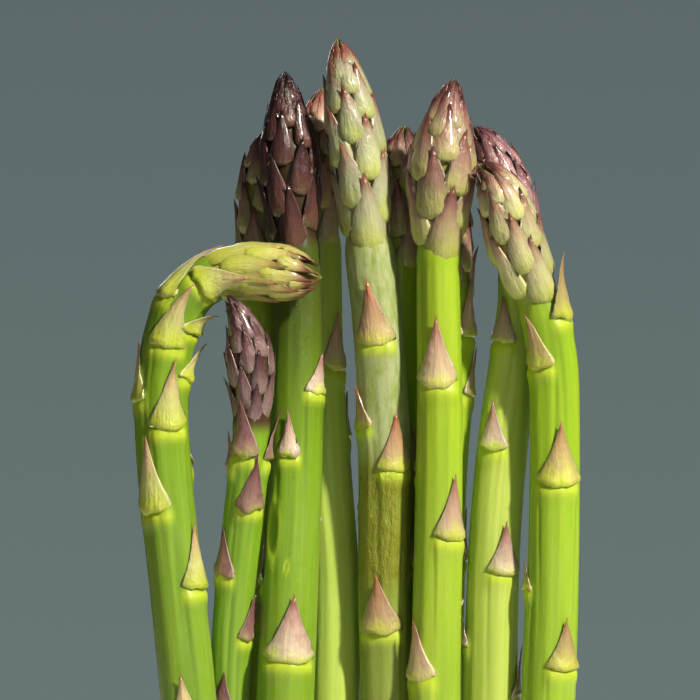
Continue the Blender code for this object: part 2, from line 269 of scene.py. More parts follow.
@dataclass(frozen=True)
class LeafShape:
    """The outline and relief of one kind of leaf, in shares of its own length and width.

    widths and rises are profiles along it, bottom_curve how far its base's corners reach up,
    edge_drop and edge_power how its flanks fall away, keel its middle ridge, wall how deep it
    goes, and columns where its points lie across it. Its rows lie at the shares in widths.
    """

    widths: tuple
    rises: tuple
    bottom_curve: float
    edge_drop: float
    edge_power: float
    keel: float
    wall: float
    columns: tuple

    def template(self, name: str) -> bpy.types.Object:
        """Model the leaf flat, as a closed thin shell: X across, Y along and Z outward.

        Args:
            name: The template's name.

        Returns:
            An object that only the node tree reads.
        """
        rows, columns = np.array([share for share, _ in self.widths]), np.array(self.columns)
        width, rise = profile(self.widths, rows), profile(self.rises, rows)
        form = bmesh.new()
        layers = {label: form.verts.layers.float.new(label) for label in ("edge", "across", "along")}

        def corner(row: int, column: float, depth: float = 0.0) -> bmesh.types.BMVert:
            """Add one point of the leaf.

            Args:
                row: Its row from the base.
                column: Its share of the half width.
                depth: How far it lies under the skin.

            Returns:
                The point, with its place on the leaf in its layers.
            """
            along = rows[row] + self.bottom_curve * column ** 2 * (1.0 - rows[row]) ** 3
            sides = self.edge_drop * (1.0 - 0.55 * rows[row]) * abs(column) ** self.edge_power
            ridge = self.keel * rows[row] * (1.0 - abs(column)) ** 2
            height = rise[row] * (1.0 - sides) + ridge - depth
            vertex = form.verts.new((column * width[row], along, height))
            vertex[layers["edge"]] = abs(column)
            vertex[layers["across"]] = column * width[row]
            vertex[layers["along"]] = along
            return vertex

        top = [[corner(row, column) for column in columns] for row in range(len(rows) - 1)]
        tip = corner(len(rows) - 1, 0.0)
        under = [corner(row, 0.0, self.wall) for row in range(1, len(rows) - 1)]
        for low, high in zip(top, top[1:]):
            for left in range(len(columns) - 1):
                form.faces.new((low[left], low[left + 1], high[left + 1], high[left]))
        for left in range(len(columns) - 1):
            form.faces.new((top[-1][left], top[-1][left + 1], tip))
        middle = len(columns) // 2
        form.faces.new((*top[0][:middle + 1], under[0], top[1][0])).normal_flip()
        form.faces.new((*top[0][middle:], top[1][-1], under[0])).normal_flip()
        for row in range(1, len(rows) - 2):
            low, high = under[row - 1], under[row]
            form.faces.new((top[row][0], top[row + 1][0], high, low))
            form.faces.new((low, high, top[row + 1][-1], top[row][-1]))
        form.faces.new((top[-1][0], tip, under[-1]))
        form.faces.new((under[-1], tip, top[-1][-1]))
        bmesh.ops.recalc_face_normals(form, faces=form.faces)
        for face in form.faces:
            face.smooth = True
        mesh = bpy.data.meshes.new(name)
        form.to_mesh(mesh)
        form.free()
        return link_object(name, mesh)


LEAF_SHAPES = {
    Leaf.BRACT: LeafShape(
        widths=((0.0, 0.86), (0.025, 0.96), (0.06, 1.0), (0.12, 0.98), (0.2, 0.88), (0.32, 0.69), (0.46, 0.5),
                (0.6, 0.34), (0.74, 0.2), (0.87, 0.09), (1.0, 0.0)),
        rises=((0.0, -0.15), (0.025, 0.8), (0.06, 1.2), (0.12, 1.1), (0.2, 0.84), (0.32, 0.66), (0.46, 0.54),
               (1.0, 0.36)),
        bottom_curve=0.08, edge_drop=0.62, edge_power=2.4, keel=0.2, wall=0.3,
        columns=(-1.0, -0.86, -0.6, -0.3, 0.0, 0.3, 0.6, 0.86, 1.0),
    ),
    Leaf.SCALE: LeafShape(
        widths=((0.0, 0.66), (0.035, 0.88), (0.1, 0.99), (0.2, 1.0), (0.34, 0.9), (0.5, 0.72), (0.68, 0.46),
                (0.85, 0.2), (1.0, 0.0)),
        rises=((0.0, -0.1), (0.035, 0.6), (0.1, 0.98), (0.2, 1.06), (0.34, 0.9), (0.5, 0.7), (0.68, 0.52),
               (0.85, 0.4), (1.0, 0.3)),
        bottom_curve=0.06, edge_drop=0.68, edge_power=1.9, keel=0.38, wall=0.25,
        columns=(-1.0, -0.8, -0.45, 0.0, 0.45, 0.8, 1.0),
    ),
}


class Spine:
    """A smooth path through a spear's points, measured by the distance along it."""

    STEPS = 20
    REACH = 1.5
    LEVEL_FOOT = 12.0

    def __init__(self, points: tuple, shift: np.ndarray) -> None:
        """Draw the path.

        Args:
            points: The spear's points from cut end to tip, in millimetres.
            shift: What moves them to where the CAD spear stands.
        """
        anchors = np.array(points, dtype=float) + shift
        chain = np.vstack([2.0 * anchors[0] - anchors[1], anchors, 2.0 * anchors[-1] - anchors[-2]])
        share = (np.arange(self.STEPS) / self.STEPS)[:, None]
        runs = []
        for first, second, third, fourth in zip(chain, chain[1:], chain[2:], chain[3:]):
            linear_part = (third - first) * 0.5
            square = first - 2.5 * second + 2.0 * third - 0.5 * fourth
            cubic = (fourth - first) * 0.5 + 1.5 * (second - third)
            runs.append(second + linear_part * share + square * share ** 2 + cubic * share ** 3)
        self.points = np.vstack([*runs, anchors[-1:]])
        self.marks = np.concatenate([[0.0], np.cumsum(np.linalg.norm(np.diff(self.points, axis=0), axis=1))])
        self.length = float(self.marks[-1])

    def place(self, distances: np.ndarray) -> np.ndarray:
        """The points of the path at many distances from the cut end."""
        return np.stack([np.interp(distances, self.marks, self.points[:, axis]) for axis in range(3)], axis=1)

    def frames(self, distances: np.ndarray) -> tuple[np.ndarray, np.ndarray, np.ndarray]:
        """Where the path is, and its front and right sides, level at the cut end.

        Args:
            distances: Distances from the cut end, in millimetres.

        Returns:
            The points, the front directions and the right-hand directions.
        """
        growth = self.place(distances + self.REACH) - self.place(distances - self.REACH)
        growth /= np.linalg.norm(growth, axis=1, keepdims=True)
        ease = smooth_step(0.0, self.LEVEL_FOOT, distances)[:, None]
        growth = growth * ease + np.array([0.0, 0.0, 1.0]) * (1.0 - ease)
        growth /= np.linalg.norm(growth, axis=1, keepdims=True)
        toward = np.array([0.0, -1.0, 0.0])
        front = toward - growth * (growth @ toward)[:, None]
        front /= np.linalg.norm(front, axis=1, keepdims=True)
        return self.place(distances), front, np.cross(growth, front)

    def distance_at(self, level: float) -> float:
        """Find where the path first reaches a height.

        Args:
            level: The height in millimetres.

        Returns:
            The distance along the path from the cut end.
        """
        heights = self.points[:, 2]
        after = int(np.argmax(heights >= level))
        low, high = heights[after - 1], heights[after]
        return float(self.marks[after - 1] + (level - low) / (high - low) * (self.marks[after] - self.marks[after - 1]))


class LeafWrap:
    """The node tree that wraps flat leaves round a spine."""

    INPUTS = (
        ("Leaf", "NodeSocketObject"),
        ("Spine", "NodeSocketObject"),
        ("Material", "NodeSocketMaterial"),
        ("Full Size Radius", "NodeSocketFloat"),
        ("Smallest Radius", "NodeSocketFloat"),
    )
    NUMBERS = ("start", "size", "bearing", "half_width", "sink", "plump", "lift", "lean", "ruffle", "hem", "tint")
    FRONT = (0.0, -1.0, 0.0)
    # How far along the spine each point of a flat leaf goes, with a hem that waves low down
    CLIMB = (
        ("straight", "MULTIPLY_ADD", "Y", "size", "start"),
        ("seed", "MULTIPLY", "tint", 50.0),
        ("edge_line", "JOIN", "X", 0.0, "seed"),
        ("edge_cloud", "CLOUD", "edge_line", 1.7, 1.0),
        ("hem_wave", "RANGE", "edge_cloud", 0.3, 0.7, -1.0, 1.0),
        ("below", "CLAMPED SUBTRACT", 1.0, "Y"),
        ("low", "POWER", "below", 7.0),
        ("hem_low", "MULTIPLY", "hem_wave", "low"),
        ("hem_shift", "MULTIPLY", "hem_low", "hem"),
        ("distance", "ADD", "straight", "hem_shift"),
    )
    WRAP = (
        # How far it stands off the spine: on the stem, swollen, lifted at the tip and ruffled
        ("fullness", "CLAMPED DIVIDE", "girth", "Full Size Radius"),
        ("relief", "MULTIPLY", "Z", "plump"),
        ("sunk", "SUBTRACT", "relief", "sink"),
        ("raised", "MULTIPLY_ADD", "sunk", "fullness", "girth"),
        ("tipward", "POWER", "Y", 2.0),
        ("standing", "MULTIPLY", "lift", "fullness"),
        ("lifted", "MULTIPLY_ADD", "tipward", "standing", "raised"),
        ("sheet", "JOIN", "X", "Y", "seed"),
        ("sheet_cloud", "CLOUD", "sheet", 4.5, 1.5),
        ("wave", "RANGE", "sheet_cloud", 0.3, 0.7, -1.0, 1.0),
        ("margin", "MULTIPLY_ADD", "X", "X", 0.35),
        ("waving", "MULTIPLY", "wave", "margin"),
        ("radius", "MULTIPLY_ADD", "waving", "ruffle", "lifted"),
        # How far round it goes
        ("leaning", "MULTIPLY", "tipward", "lean"),
        ("across", "MULTIPLY_ADD", "X", "half_width", "leaning"),
        ("held", "MAXIMUM", "girth", "Smallest Radius"),
        ("turned", "DIVIDE", "across", "held"),
        ("angle", "ADD", "turned", "bearing"),
        # The spine's front and right-hand side there, and the point itself
        ("toward", "DOT", FRONT, "growth"),
        ("upward", "SCALE", "growth", "toward"),
        ("facing", "VECTOR SUBTRACT", FRONT, "upward"),
        ("front", "UNIT", "facing"),
        ("side", "CROSS", "growth", "front"),
        ("cosine", "COSINE", "angle"),
        ("sine", "SINE", "angle"),
        ("ahead", "SCALE", "front", "cosine"),
        ("aside", "SCALE", "side", "sine"),
        ("outward", "VECTOR ADD", "ahead", "aside"),
        ("offset", "SCALE", "outward", "radius"),
        ("spot", "VECTOR ADD", "middle", "offset"),
    )

    def __init__(self) -> None:
        """Build the tree once for every spear."""
        self.tree = bpy.data.node_groups.new("leaves_on_a_spine", "GeometryNodeTree")
        tree = self.tree
        tree.interface.new_socket("Geometry", in_out="INPUT", socket_type="NodeSocketGeometry")
        tree.interface.new_socket("Geometry", in_out="OUTPUT", socket_type="NodeSocketGeometry")
        for name, kind in self.INPUTS:
            tree.interface.new_socket(name, in_out="INPUT", socket_type=kind)
        given = add_node(tree, "NodeGroupInput").outputs
        known = {name: given[name] for name, _ in self.INPUTS}
        leaf, spine = (
            add_node(tree, "GeometryNodeObjectInfo", {"Object": given[name]}).outputs["Geometry"]
            for name in ("Leaf", "Spine")
        )
        spread = add_node(tree, "GeometryNodeInstanceOnPoints", {"Points": given["Geometry"], "Instance": leaf})
        real = add_node(tree, "GeometryNodeRealizeInstances", {"Geometry": spread.outputs["Instances"]})
        for name in self.NUMBERS:
            known[name] = add_node(tree, "GeometryNodeInputNamedAttribute", {"Name": name}).outputs["Attribute"]
        flat = add_node(tree, "ShaderNodeSeparateXYZ", {
            "Vector": add_node(tree, "GeometryNodeInputPosition").outputs["Position"],
        }).outputs
        known.update({axis: flat[axis] for axis in "XYZ"})
        add_steps(tree, known, self.CLIMB)
        sample = add_node(tree, "GeometryNodeSampleCurve", {
            "Curves": spine,
            "Value": add_node(tree, "GeometryNodeInputRadius").outputs["Radius"],
            "Length": known["distance"],
        }, mode="LENGTH").outputs
        known.update(girth=sample["Value"], growth=sample["Tangent"], middle=sample["Position"])
        add_steps(tree, known, self.WRAP)
        wrapped = add_node(tree, "GeometryNodeSetPosition", {
            "Geometry": real.outputs["Geometry"], "Position": known["spot"],
        })
        dressed = add_node(tree, "GeometryNodeSetMaterial", {
            "Geometry": wrapped.outputs["Geometry"], "Material": given["Material"],
        })
        add_node(tree, "NodeGroupOutput", {"Geometry": dressed.outputs["Geometry"]})

    def grow(self, name: str, leaves: dict[str, np.ndarray], values: dict[str, Any]) -> bpy.types.Object:
        """Lay leaves on a spine and keep them as one plain mesh.

        Args:
            name: The new piece's name.
            leaves: One array for each of the leaves' numbers, in metres and radians.
            values: What goes into each of the tree's named inputs: the flat leaf, the curve
                that carries the outline as its radius, the finish, the girth below which the
                relief shrinks with it, and the girth that the narrow tip is taken to have.

        Returns:
            The finished piece.
        """
        seeds = bpy.data.meshes.new(name)
        seeds.from_pydata([(0.0, 0.0, 0.0)] * len(leaves["start"]), [], [])
        write_values(seeds, leaves)
        host = link_object(name + "_seeds", seeds)
        wrap = host.modifiers.new("wrap", "NODES")
        wrap.node_group = self.tree
        for item in self.tree.interface.items_tree:
            if item.in_out == "INPUT" and item.name in values:
                wrap[item.identifier] = values[item.name]
        bpy.context.view_layer.update()
        graph = bpy.context.evaluated_depsgraph_get()
        mesh = bpy.data.meshes.new_from_object(host.evaluated_get(graph))
        bpy.data.objects.remove(host, do_unlink=True)
        return link_object(name, mesh)


@dataclass(frozen=True)
class Finish:
    """A finish whose nodes read its piece's own attributes and feed one shader.

    READS names the attributes. STEPS are the rows of its nodes, which read the attributes, the
    finish's own fields and its numbers by name. SHADER says what goes into each shader input.
    """

    READS = ()
    STEPS = ()
    SHADER = {}

    name: str

    def numbers(self) -> dict[str, float]:
        """What the steps read beside the fields."""
        return {}

    def build(self) -> bpy.types.Material:
        """Make the material.

        Returns:
            The finished material.
        """
        material = bpy.data.materials.new(self.name)
        material.use_nodes = True
        tree = material.node_tree
        known = {**vars(self), **self.numbers()}
        for name in self.READS:
            output = "Vector" if name == "grain" else "Fac"
            known[name] = add_node(tree, "ShaderNodeAttribute", attribute_name=name).outputs[output]
        add_steps(tree, known, self.STEPS)
        values = {socket: known.get(value, value) for socket, value in self.SHADER.items()}
        connect(tree, tree.nodes["Principled BSDF"], values)
        return material


@dataclass(frozen=True)
class StemSkin(Finish):
    """Fresh asparagus skin: a waxy cuticle over wet flesh, so it glows a little and shines softly.

    main, deep and pale are its greens in bands and streaks, foot the colour toward the cut,
    collar_colour that of the swellings under the bracts, and stain a dull wet patch between two
    levels. core is what shows between the head's scales, flush_and_shade how the skin darkens on its
    way up to them, partly a real flush and partly painted shade, and bloom how much whitish wax dulls it.
    """

    READS = ("grain", "level", "collar", "head", "panel")
    # The grain is in millimetres, so a scale is one over a pattern's width
    STEPS = (
        # Fibres about 1 mm apart and 30 mm long
        ("fibre_space", "STRETCH", "grain", (0.9, 0.9, 0.035)),
        ("fibres", "CLOUD", "fibre_space", 1.0, 4.0, 0.6),
        # Bands of deeper green about 6 mm wide and 80 mm long
        ("band_space", "STRETCH", "grain", (0.17, 0.17, 0.013)),
        ("bands", "CLOUD", "band_space", 1.0, 2.0, 0.5),
        # Mottling about 2 mm wide and 5 mm long
        ("mottle_space", "STRETCH", "grain", (0.55, 0.55, 0.22)),
        ("mottle", "CLOUD", "mottle_space", 1.0, 5.0, 0.65),
        ("band_share", "EASE", "bands", 0.26, 0.6, 0.35, 1.0),
        ("greens", "BLEND", "band_share", "deep", "main"),
        # Painted light: the panel under each bract is kept to the plain main green, lighter than the deep bands, as if
        # its raised facet caught the light
        ("panel_lit_share", "MULTIPLY", "panel", 0.35),
        ("panel_lit", "BLEND", "panel_lit_share", "greens", "main"),
        ("fibre_share", "EASE", "fibres", 0.45, 0.75, 0.0, 0.3),
        ("streaked", "BLEND", "fibre_share", "panel_lit", "pale"),
        ("foot_share", "RANGE", "level", 0.26, 0.0, 0.0, 0.7),
        ("footed", "BLEND", "foot_share", "streaked", "foot"),
        # Wax that thickens toward the head and is rubbed off in blots
        ("bloom_high", "EASE", "level", 0.6, 0.78, 0.06, "bloom"),
        ("bloom_share", "RANGE", "mottle", 0.3, 0.6, 0.0, "bloom_high"),
        ("waxed", "BLEND", "bloom_share", "footed", "bloom_colour"),
        ("stain_rise", "EASE", "level", "stain_starts", "stain_full", 0.0, 1.0),
        ("stain_fall", "EASE", "level", "stain_ends", "stain_thins", 0.0, 1.0),
        ("stain_here", "MULTIPLY", "stain_rise", "stain_fall"),
        ("stain_spots", "RANGE", "mottle", 0.25, 0.5, 0.0, 1.0),
        ("stain_share", "MULTIPLY", "stain_here", "stain_spots"),
        ("stain_tone", "BLEND", "fibre_share", "stain", "stain_light"),
        ("stained", "BLEND", "stain_share", "waxed", "stain_tone"),
        # Painted shade, partly a real flush: the skin darkens on its way up toward the head
        ("flush_and_shade_share", "EASE", "level", 0.68, 0.96, 0.0, "flush_and_shade_amount"),
        ("flushed_and_shaded", "BLEND", "flush_and_shade_share", "stained", "flush_and_shade"),
        ("collared", "BLEND", "collar", "flushed_and_shaded", "collar_colour"),
        # Tiny pale pores, drawn twice their real 0.1 mm so that they show; the pale dots also stand in for the glints
        # of water drops, a painted highlight
        ("pore_space", "STRETCH", "grain", (0.7, 0.7, 0.45)),
        ("pores", "CELLS", "pore_space", 1.0),
        ("pore_and_glint_share", "RANGE", "pores", 0.1, 0.04, 0.0, 0.22),
        ("pored_and_glinted", "BLEND", "pore_and_glint_share", "collared", "pore_and_glint_colour"),
        ("colour", "BLEND", "head", "pored_and_glinted", "core"),
        # The stain is wet and wrinkled, the rest evenly waxy
        ("dry", "RANGE", "mottle", 0.3, 0.7, "smoothest", "roughest"),
        ("rough", "RANGE", "stain_here", 0.0, 1.0, "dry", 0.24),
        ("ridges", "BUMP", "fibres", 0.25, 0.4 * MM),
        ("wrinkling", "RANGE", "stain_here", 0.0, 1.0, 0.12, 1.0),
        ("bumps", "BUMP", "mottle", "wrinkling", 1.4 * MM, "ridges"),
    )
    SHADER = {
        "Base Color": "colour", "Roughness": "rough", "Normal": "bumps", "IOR": 1.42,
        "Subsurface Weight": 0.12, "Subsurface Radius": (0.9, 1.0, 0.25), "Subsurface Scale": 1.2 * MM,
        "Coat Weight": 0.12, "Coat Roughness": 0.18,
    }

    main: str
    deep: str
    pale: str
    foot: str = "#C6D88A"
    collar_colour: str = "#B5CC3A"
    stain: str = "#8A8F2E"
    stain_light: str = "#B4BC3C"
    stain_levels: tuple = (-1.0, -1.0)
    stain_margin: float = 0.03
    core: str = "#5E5A26"
    flush_and_shade: str = "#3F4A1A"
    flush_and_shade_amount: float = 0.0
    bloom: float = 0.0
    bloom_colour: str = "#BCC59E"
    pore_and_glint_colour: str = "#E4EBC0"
    roughness: float = 0.34

    def numbers(self) -> dict[str, float]:
        """Work out where the stain fades and how rough the wax is.

        Returns:
            The levels and the roughnesses by name.
        """
        (low, high), margin = self.stain_levels, self.stain_margin
        return {
            "stain_starts": low - margin, "stain_full": low + margin, "stain_thins": high - margin,
            "stain_ends": high + margin, "smoothest": self.roughness - 0.07, "roughest": self.roughness + 0.1,
        }


@dataclass(frozen=True)
class LeafSkin(Finish):
    """Papery leaf skin: thin, dry toward its tip, so it turns from green to tan to red-brown.

    Each stop is a share of the leaf's length with a colour; rim is the pale thin margin, and
    blush a colour that spreads in patches. Every leaf is darkened toward its flanks, a painted shade.
    """

    READS = ("along", "across", "edge", "tint", "grade")
    STEPS = (
        ("seed", "MULTIPLY", "tint", 37.0),
        ("sheet", "JOIN", "across", "along", "seed"),
        # Veins about 0.4 mm apart on a leaf 9 mm wide
        ("vein_space", "STRETCH", "sheet", (11.0, 1.3, 1.0)),
        ("veins", "CLOUD", "vein_space", 1.0, 3.0, 0.6),
        # Patches about half as long as the leaf
        ("patch_space", "STRETCH", "sheet", (1.3, 2.2, 1.0)),
        ("patches", "CLOUD", "patch_space", 1.0, 4.0, 0.6),
        ("wander", "RANGE", "patches", 0.3, 0.7, -0.12, 0.12),
        ("riper", "MULTIPLY_ADD", "grade", 0.22, "along"),
        ("shifted", "ADD", "riper", "wander"),
        ("ripeness", "RAMP", "shifted"),
        ("blush_share", "EASE", "patches", 0.48, 0.62, 0.0, "blush_amount"),
        ("blushed", "BLEND", "blush_share", "ripeness", "blush"),
        ("vein_shade", "RANGE", "veins", 0.3, 0.7, 0.92, 1.08),
        ("own_shade", "RANGE", "tint", 0.0, 1.0, 0.86, 1.1),
        # Painted shade: each leaf darkens toward its flanks, as if its edges lay in shade
        ("flank_painted_shade", "RANGE", "edge", 0.35, 0.85, 1.06, 0.82),
        ("toned", "MULTIPLY", "vein_shade", "own_shade"),
        ("shade", "MULTIPLY", "toned", "flank_painted_shade"),
        ("veined", "SCALE", "blushed", "shade"),
        ("rim_share", "EASE", "edge", 0.85, 0.96, 0.0, "rim_amount"),
        ("colour", "BLEND", "rim_share", "veined", "rim"),
        ("rough", "RANGE", "patches", 0.3, 0.7, "smoothest", "roughest"),
        ("furrows", "BUMP", "veins", 0.4, 0.4 * MM),
        ("relief", "BUMP", "patches", 0.7, 1.4 * MM, "furrows"),
    )
    SHADER = {
        "Base Color": "colour", "Roughness": "rough", "Normal": "relief", "IOR": 1.45,
        "Subsurface Weight": 0.08, "Subsurface Radius": (1.0, 0.7, 0.3), "Subsurface Scale": 0.8 * MM,
        "Coat Weight": 0.5, "Coat Roughness": 0.1,
    }

    stops: tuple
    rim: str
    blush: str
    blush_amount: float = 0.3
    rim_amount: float = 0.65
    roughness: float = 0.4

    def numbers(self) -> dict[str, float]:
        """How rough the skin is between its smoothest and roughest patches."""
        return {"smoothest": self.roughness - 0.1, "roughest": self.roughness + 0.12}


@dataclass(frozen=True)
class CutFlesh(Finish):
    """The cut end: pale wet flesh with a ring of fibre bundles, drier at the skin."""

    READS = ("grain", "head")
    STEPS = (
        # Fibre bundles about 1 mm apart; on the cut, head is how dry the flesh is
        ("bundles", "CELLS", "grain", 0.9),
        ("fibre_share", "RANGE", "bundles", 0.34, 0.14, 0.0, 0.7),
        ("fibred", "BLEND", "fibre_share", "flesh", "fibre"),
        ("colour", "BLEND", "head", "fibred", "rim"),
        ("relief", "BUMP", "bundles", 0.4, 0.3 * MM),
    )
    SHADER = {
        "Base Color": "colour", "Normal": "relief", "Roughness": 0.45,
        "Subsurface Weight": 0.2, "Subsurface Scale": 1.5 * MM,
    }

    name: str = "cut asparagus flesh"
    flesh: str = "#D9DFAE"
    fibre: str = "#A9B878"
    rim: str = "#B59B6B"


@dataclass(frozen=True)
class Rubber(Finish):
    """The elastic band: matt tan rubber with a bloom of dust and fine lines along it."""

    STEPS = (
        # Cloudy patches about 8 mm across, and lines 0.5 mm apart along the band
        ("place", "PLACE"),
        ("patches", "CLOUD", "place", 120.0, 4.0),
        ("line_space", "STRETCH", "place", (60.0, 60.0, 2000.0)),
        ("lines", "CLOUD", "line_space", 1.0, 2.0),
        ("share", "RANGE", "patches", 0.35, 0.65, 0.0, 1.0),
        ("colour", "BLEND", "share", "deep", "main"),
        ("relief", "BUMP", "lines", 0.25, 0.2 * MM),
    )
    SHADER = {"Base Color": "colour", "Normal": "relief", "Roughness": 0.62}

    name: str = "tan rubber"
    main: str = "#B98A52"
    deep: str = "#96683A"


# Living green skins: fresh ones glow yellow-green where light goes into the flesh, with pale
# streaks that show how the spear grew; the dull one is matt with wax and wet in its stain
STEM_SKINS = {
    Skin.FRESH: StemSkin("fresh green stem skin", "#9CBD2C", "#74A01F", "#B6CD48", core="#8A8C40"),
    Skin.BENT: StemSkin("yellow green stem skin", "#789F22", "#55841D", "#9DB644", core="#6E6E2E"),
    Skin.CURVED: StemSkin("bright green stem skin", "#93BB28", "#6B981C", "#B4CA3C", core="#8E8C44"),
    Skin.DULL: StemSkin(
        "dull waxy stem skin", "#869A38", "#6B812A", "#A3B15C", stain="#7D8424", stain_levels=(0.52, 0.7),
        bloom=0.6, roughness=0.5, core="#7F8048",
    ),
    # Its dark flush and near-black core under the head are partly a real flush and partly painted shade
    Skin.DARK: StemSkin("deep green stem skin", "#779E1E", "#487814", "#9BB438", core="#3A2C1C", flush_and_shade_amount=0.9),
    Skin.SHORT: StemSkin("leaf green stem skin", "#7AA526", "#55881C", "#A3C23C", core="#4A3226"),
    Skin.PINK: StemSkin("light green stem skin", "#B2C855", "#90B03A", "#CBDA80", core="#5A4034"),
    Skin.PALE: StemSkin("pale green stem skin", "#B4CF58", "#93B53C", "#CEDE88", core="#8A8C40"),
}

# Dry tips over a living base: green where a leaf grows out, then papery tan, mauve and brown
FRESH_LEAF = LeafSkin(
    "fresh bract skin",
    ((0.0, "#AFC23A"), (0.1, "#C4CA62"), (0.24, "#C6B68E"),
     (0.55, "#BD9A86"), (0.85, "#A26C5E"), (1.0, "#843F34")),
    rim="#E8DCC4", blush="#C4A294",
)
DUSKY_LEAF = LeafSkin(
    "dusky bract skin",
    ((0.0, "#A8BE38"), (0.1, "#C3C874"), (0.2, "#CABDA2"), (0.5, "#C2A698"), (0.78, "#A47A70"), (1.0, "#7E4A44")),
    rim="#E3D6CC", blush="#987470",
)
BRACT_SKINS = {
    Skin.FRESH: FRESH_LEAF,
    Skin.BENT: LeafSkin(
        "yellow green bract skin",
        ((0.0, "#A9BF34"), (0.15, "#BDCA4A"), (0.42, "#CBCF80"),
         (0.66, "#C8B686"), (0.88, "#AE8268"), (1.0, "#86503C")),
        rim="#E4DEB4", blush="#B2BC60",
    ),
    Skin.CURVED: LeafSkin(
        "tan bract skin",
        ((0.0, "#B3C63C"), (0.12, "#C2C954"), (0.34, "#B7AE6A"),
         (0.65, "#AF966A"), (0.88, "#A0765A"), (1.0, "#834C40")),
        rim="#E3DDA4", blush="#BFA870",
    ),
    Skin.DULL: LeafSkin(
        "beige bract skin",
        ((0.0, "#B4BE48"), (0.1, "#BFC25A"), (0.28, "#BCA678"),
         (0.6, "#B28A6C"), (0.84, "#AC6A4C"), (1.0, "#A2493A")),
        rim="#DECDB4", blush="#B79C80",
    ),
    Skin.DARK: DUSKY_LEAF,
    Skin.SHORT: LeafSkin(
        "mauve bract skin",
        ((0.0, "#94A538"), (0.08, "#9C9060"), (0.2, "#94756A"), (0.5, "#805659"), (0.8, "#6A3D40"), (1.0, "#522628")),
        rim="#CDB8B0", blush="#5E384A",
    ),
    Skin.PINK: DUSKY_LEAF,
    Skin.PALE: FRESH_LEAF,
}
# Young tight scales: smoother and glossier than bracts, and purple where the light reached them
SCALE_SKINS = {
    Skin.FRESH: LeafSkin(
        "fresh head scale skin",
        ((0.0, "#A3AF48"), (0.18, "#ACAE66"), (0.42, "#A69A72"),
         (0.66, "#967668"), (0.87, "#7C4A46"), (1.0, "#542A28")),
        rim="#DFD4B6", blush="#8E6860",
    ),
    Skin.BENT: LeafSkin(
        "yellow green head scale skin",
        ((0.0, "#A9B93A"), (0.25, "#C0CA54"), (0.55, "#CACB72"),
         (0.8, "#B8A862"), (0.94, "#8C6040"), (1.0, "#6A402C")),
        rim="#96683E", blush="#A9B64A", rim_amount=0.8,
    ),
    Skin.CURVED: LeafSkin(
        "tan head scale skin",
        ((0.0, "#AEBC52"), (0.2, "#BEC47A"), (0.46, "#BDBB8C"),
         (0.7, "#AE9A7C"), (0.87, "#8A5C4E"), (1.0, "#56302E")),
        rim="#E6DEBC", blush="#A58E6C",
    ),
    Skin.DULL: LeafSkin(
        "beige head scale skin",
        ((0.0, "#A6B04E"), (0.2, "#B2BC70"), (0.46, "#AEB58C"),
         (0.72, "#A49C84"), (0.89, "#906250"), (1.0, "#7C3E32")),
        rim="#D8CFB0", blush="#9A9C7E",
    ),
    Skin.DARK: LeafSkin(
        "dark purple head scale skin",
        ((0.0, "#5E5030"), (0.16, "#624638"), (0.4, "#573735"),
         (0.64, "#472A2B"), (0.86, "#341E1F"), (1.0, "#221413")),
        rim="#A08478", blush="#3A2127", roughness=0.32,
    ),
    Skin.SHORT: LeafSkin(
        "mauve head scale skin",
        ((0.0, "#8A7E60"), (0.14, "#8F7E74"), (0.4, "#83696B"),
         (0.64, "#6B4A4F"), (0.86, "#523135"), (1.0, "#361E22")),
        rim="#D0C0B8", blush="#583A44", roughness=0.3,
    ),
    Skin.PINK: LeafSkin(
        "purple pink head scale skin",
        ((0.0, "#A59A70"), (0.16, "#AC9284"), (0.4, "#A88486"),
         (0.64, "#8E636A"), (0.86, "#70444A"), (1.0, "#4E2C32")),
        rim="#DBC8C0", blush="#845868", roughness=0.3,
    ),
    Skin.PALE: FRESH_LEAF,
}


def spiral(start: float, step: float, count: int, turn: float) -> tuple[Bract, ...]:
    """Bracts up a stem whose own are hidden, each a golden angle round from the last."""
    return tuple(Bract(start + step * number, (turn + GOLDEN_ANGLE * number) % 360.0, 15.0) for number in range(count))


@dataclass(frozen=True)
class HeadForm:
    """How the scales of a head lie.

    crowd is how many there are for each of the CAD's, stretch and width their size against the
    CAD's length, stand how far their tips stand off, plump their thickness, bare how far up the
    stem's green still shows between them, and depth how deep their bases lie, all four in
    millimetres. taper is the share by which the head is slimmer toward its tip, and gather how
    much closer the scales follow each other there than low down. skip is how far above the neck
    the lowest scale sits, in millimetres, and girth how fat the head is against the CAD's.
    """

    crowd: float = 1.35
    stretch: float = 1.3
    width: float = 0.26
    stand: float = 1.4
    plump: float = 1.7
    bare: float = 20.0
    depth: float = 0.0
    taper: float = 0.0
    gather: float = 1.5
    skip: float = 0.0
    girth: float = 1.0


@dataclass(frozen=True)
class Spear:
    """One spear with the CAD spear's path, girth, head and bracts, and the skin it shows.

    Its sizes are in millimetres. scales is how many the CAD's head has, scale_length how long
    they are, and turn the bearing of the lowest in degrees.
    """

    name: str
    path: tuple
    foot_radius: float
    neck_radius: float
    head_length: float
    head_radius: float
    scales: int
    scale_length: float
    turn: float
    skin: Skin
    slot: str
    bracts: tuple
    head: HeadForm = HeadForm()
    scars: tuple = ()


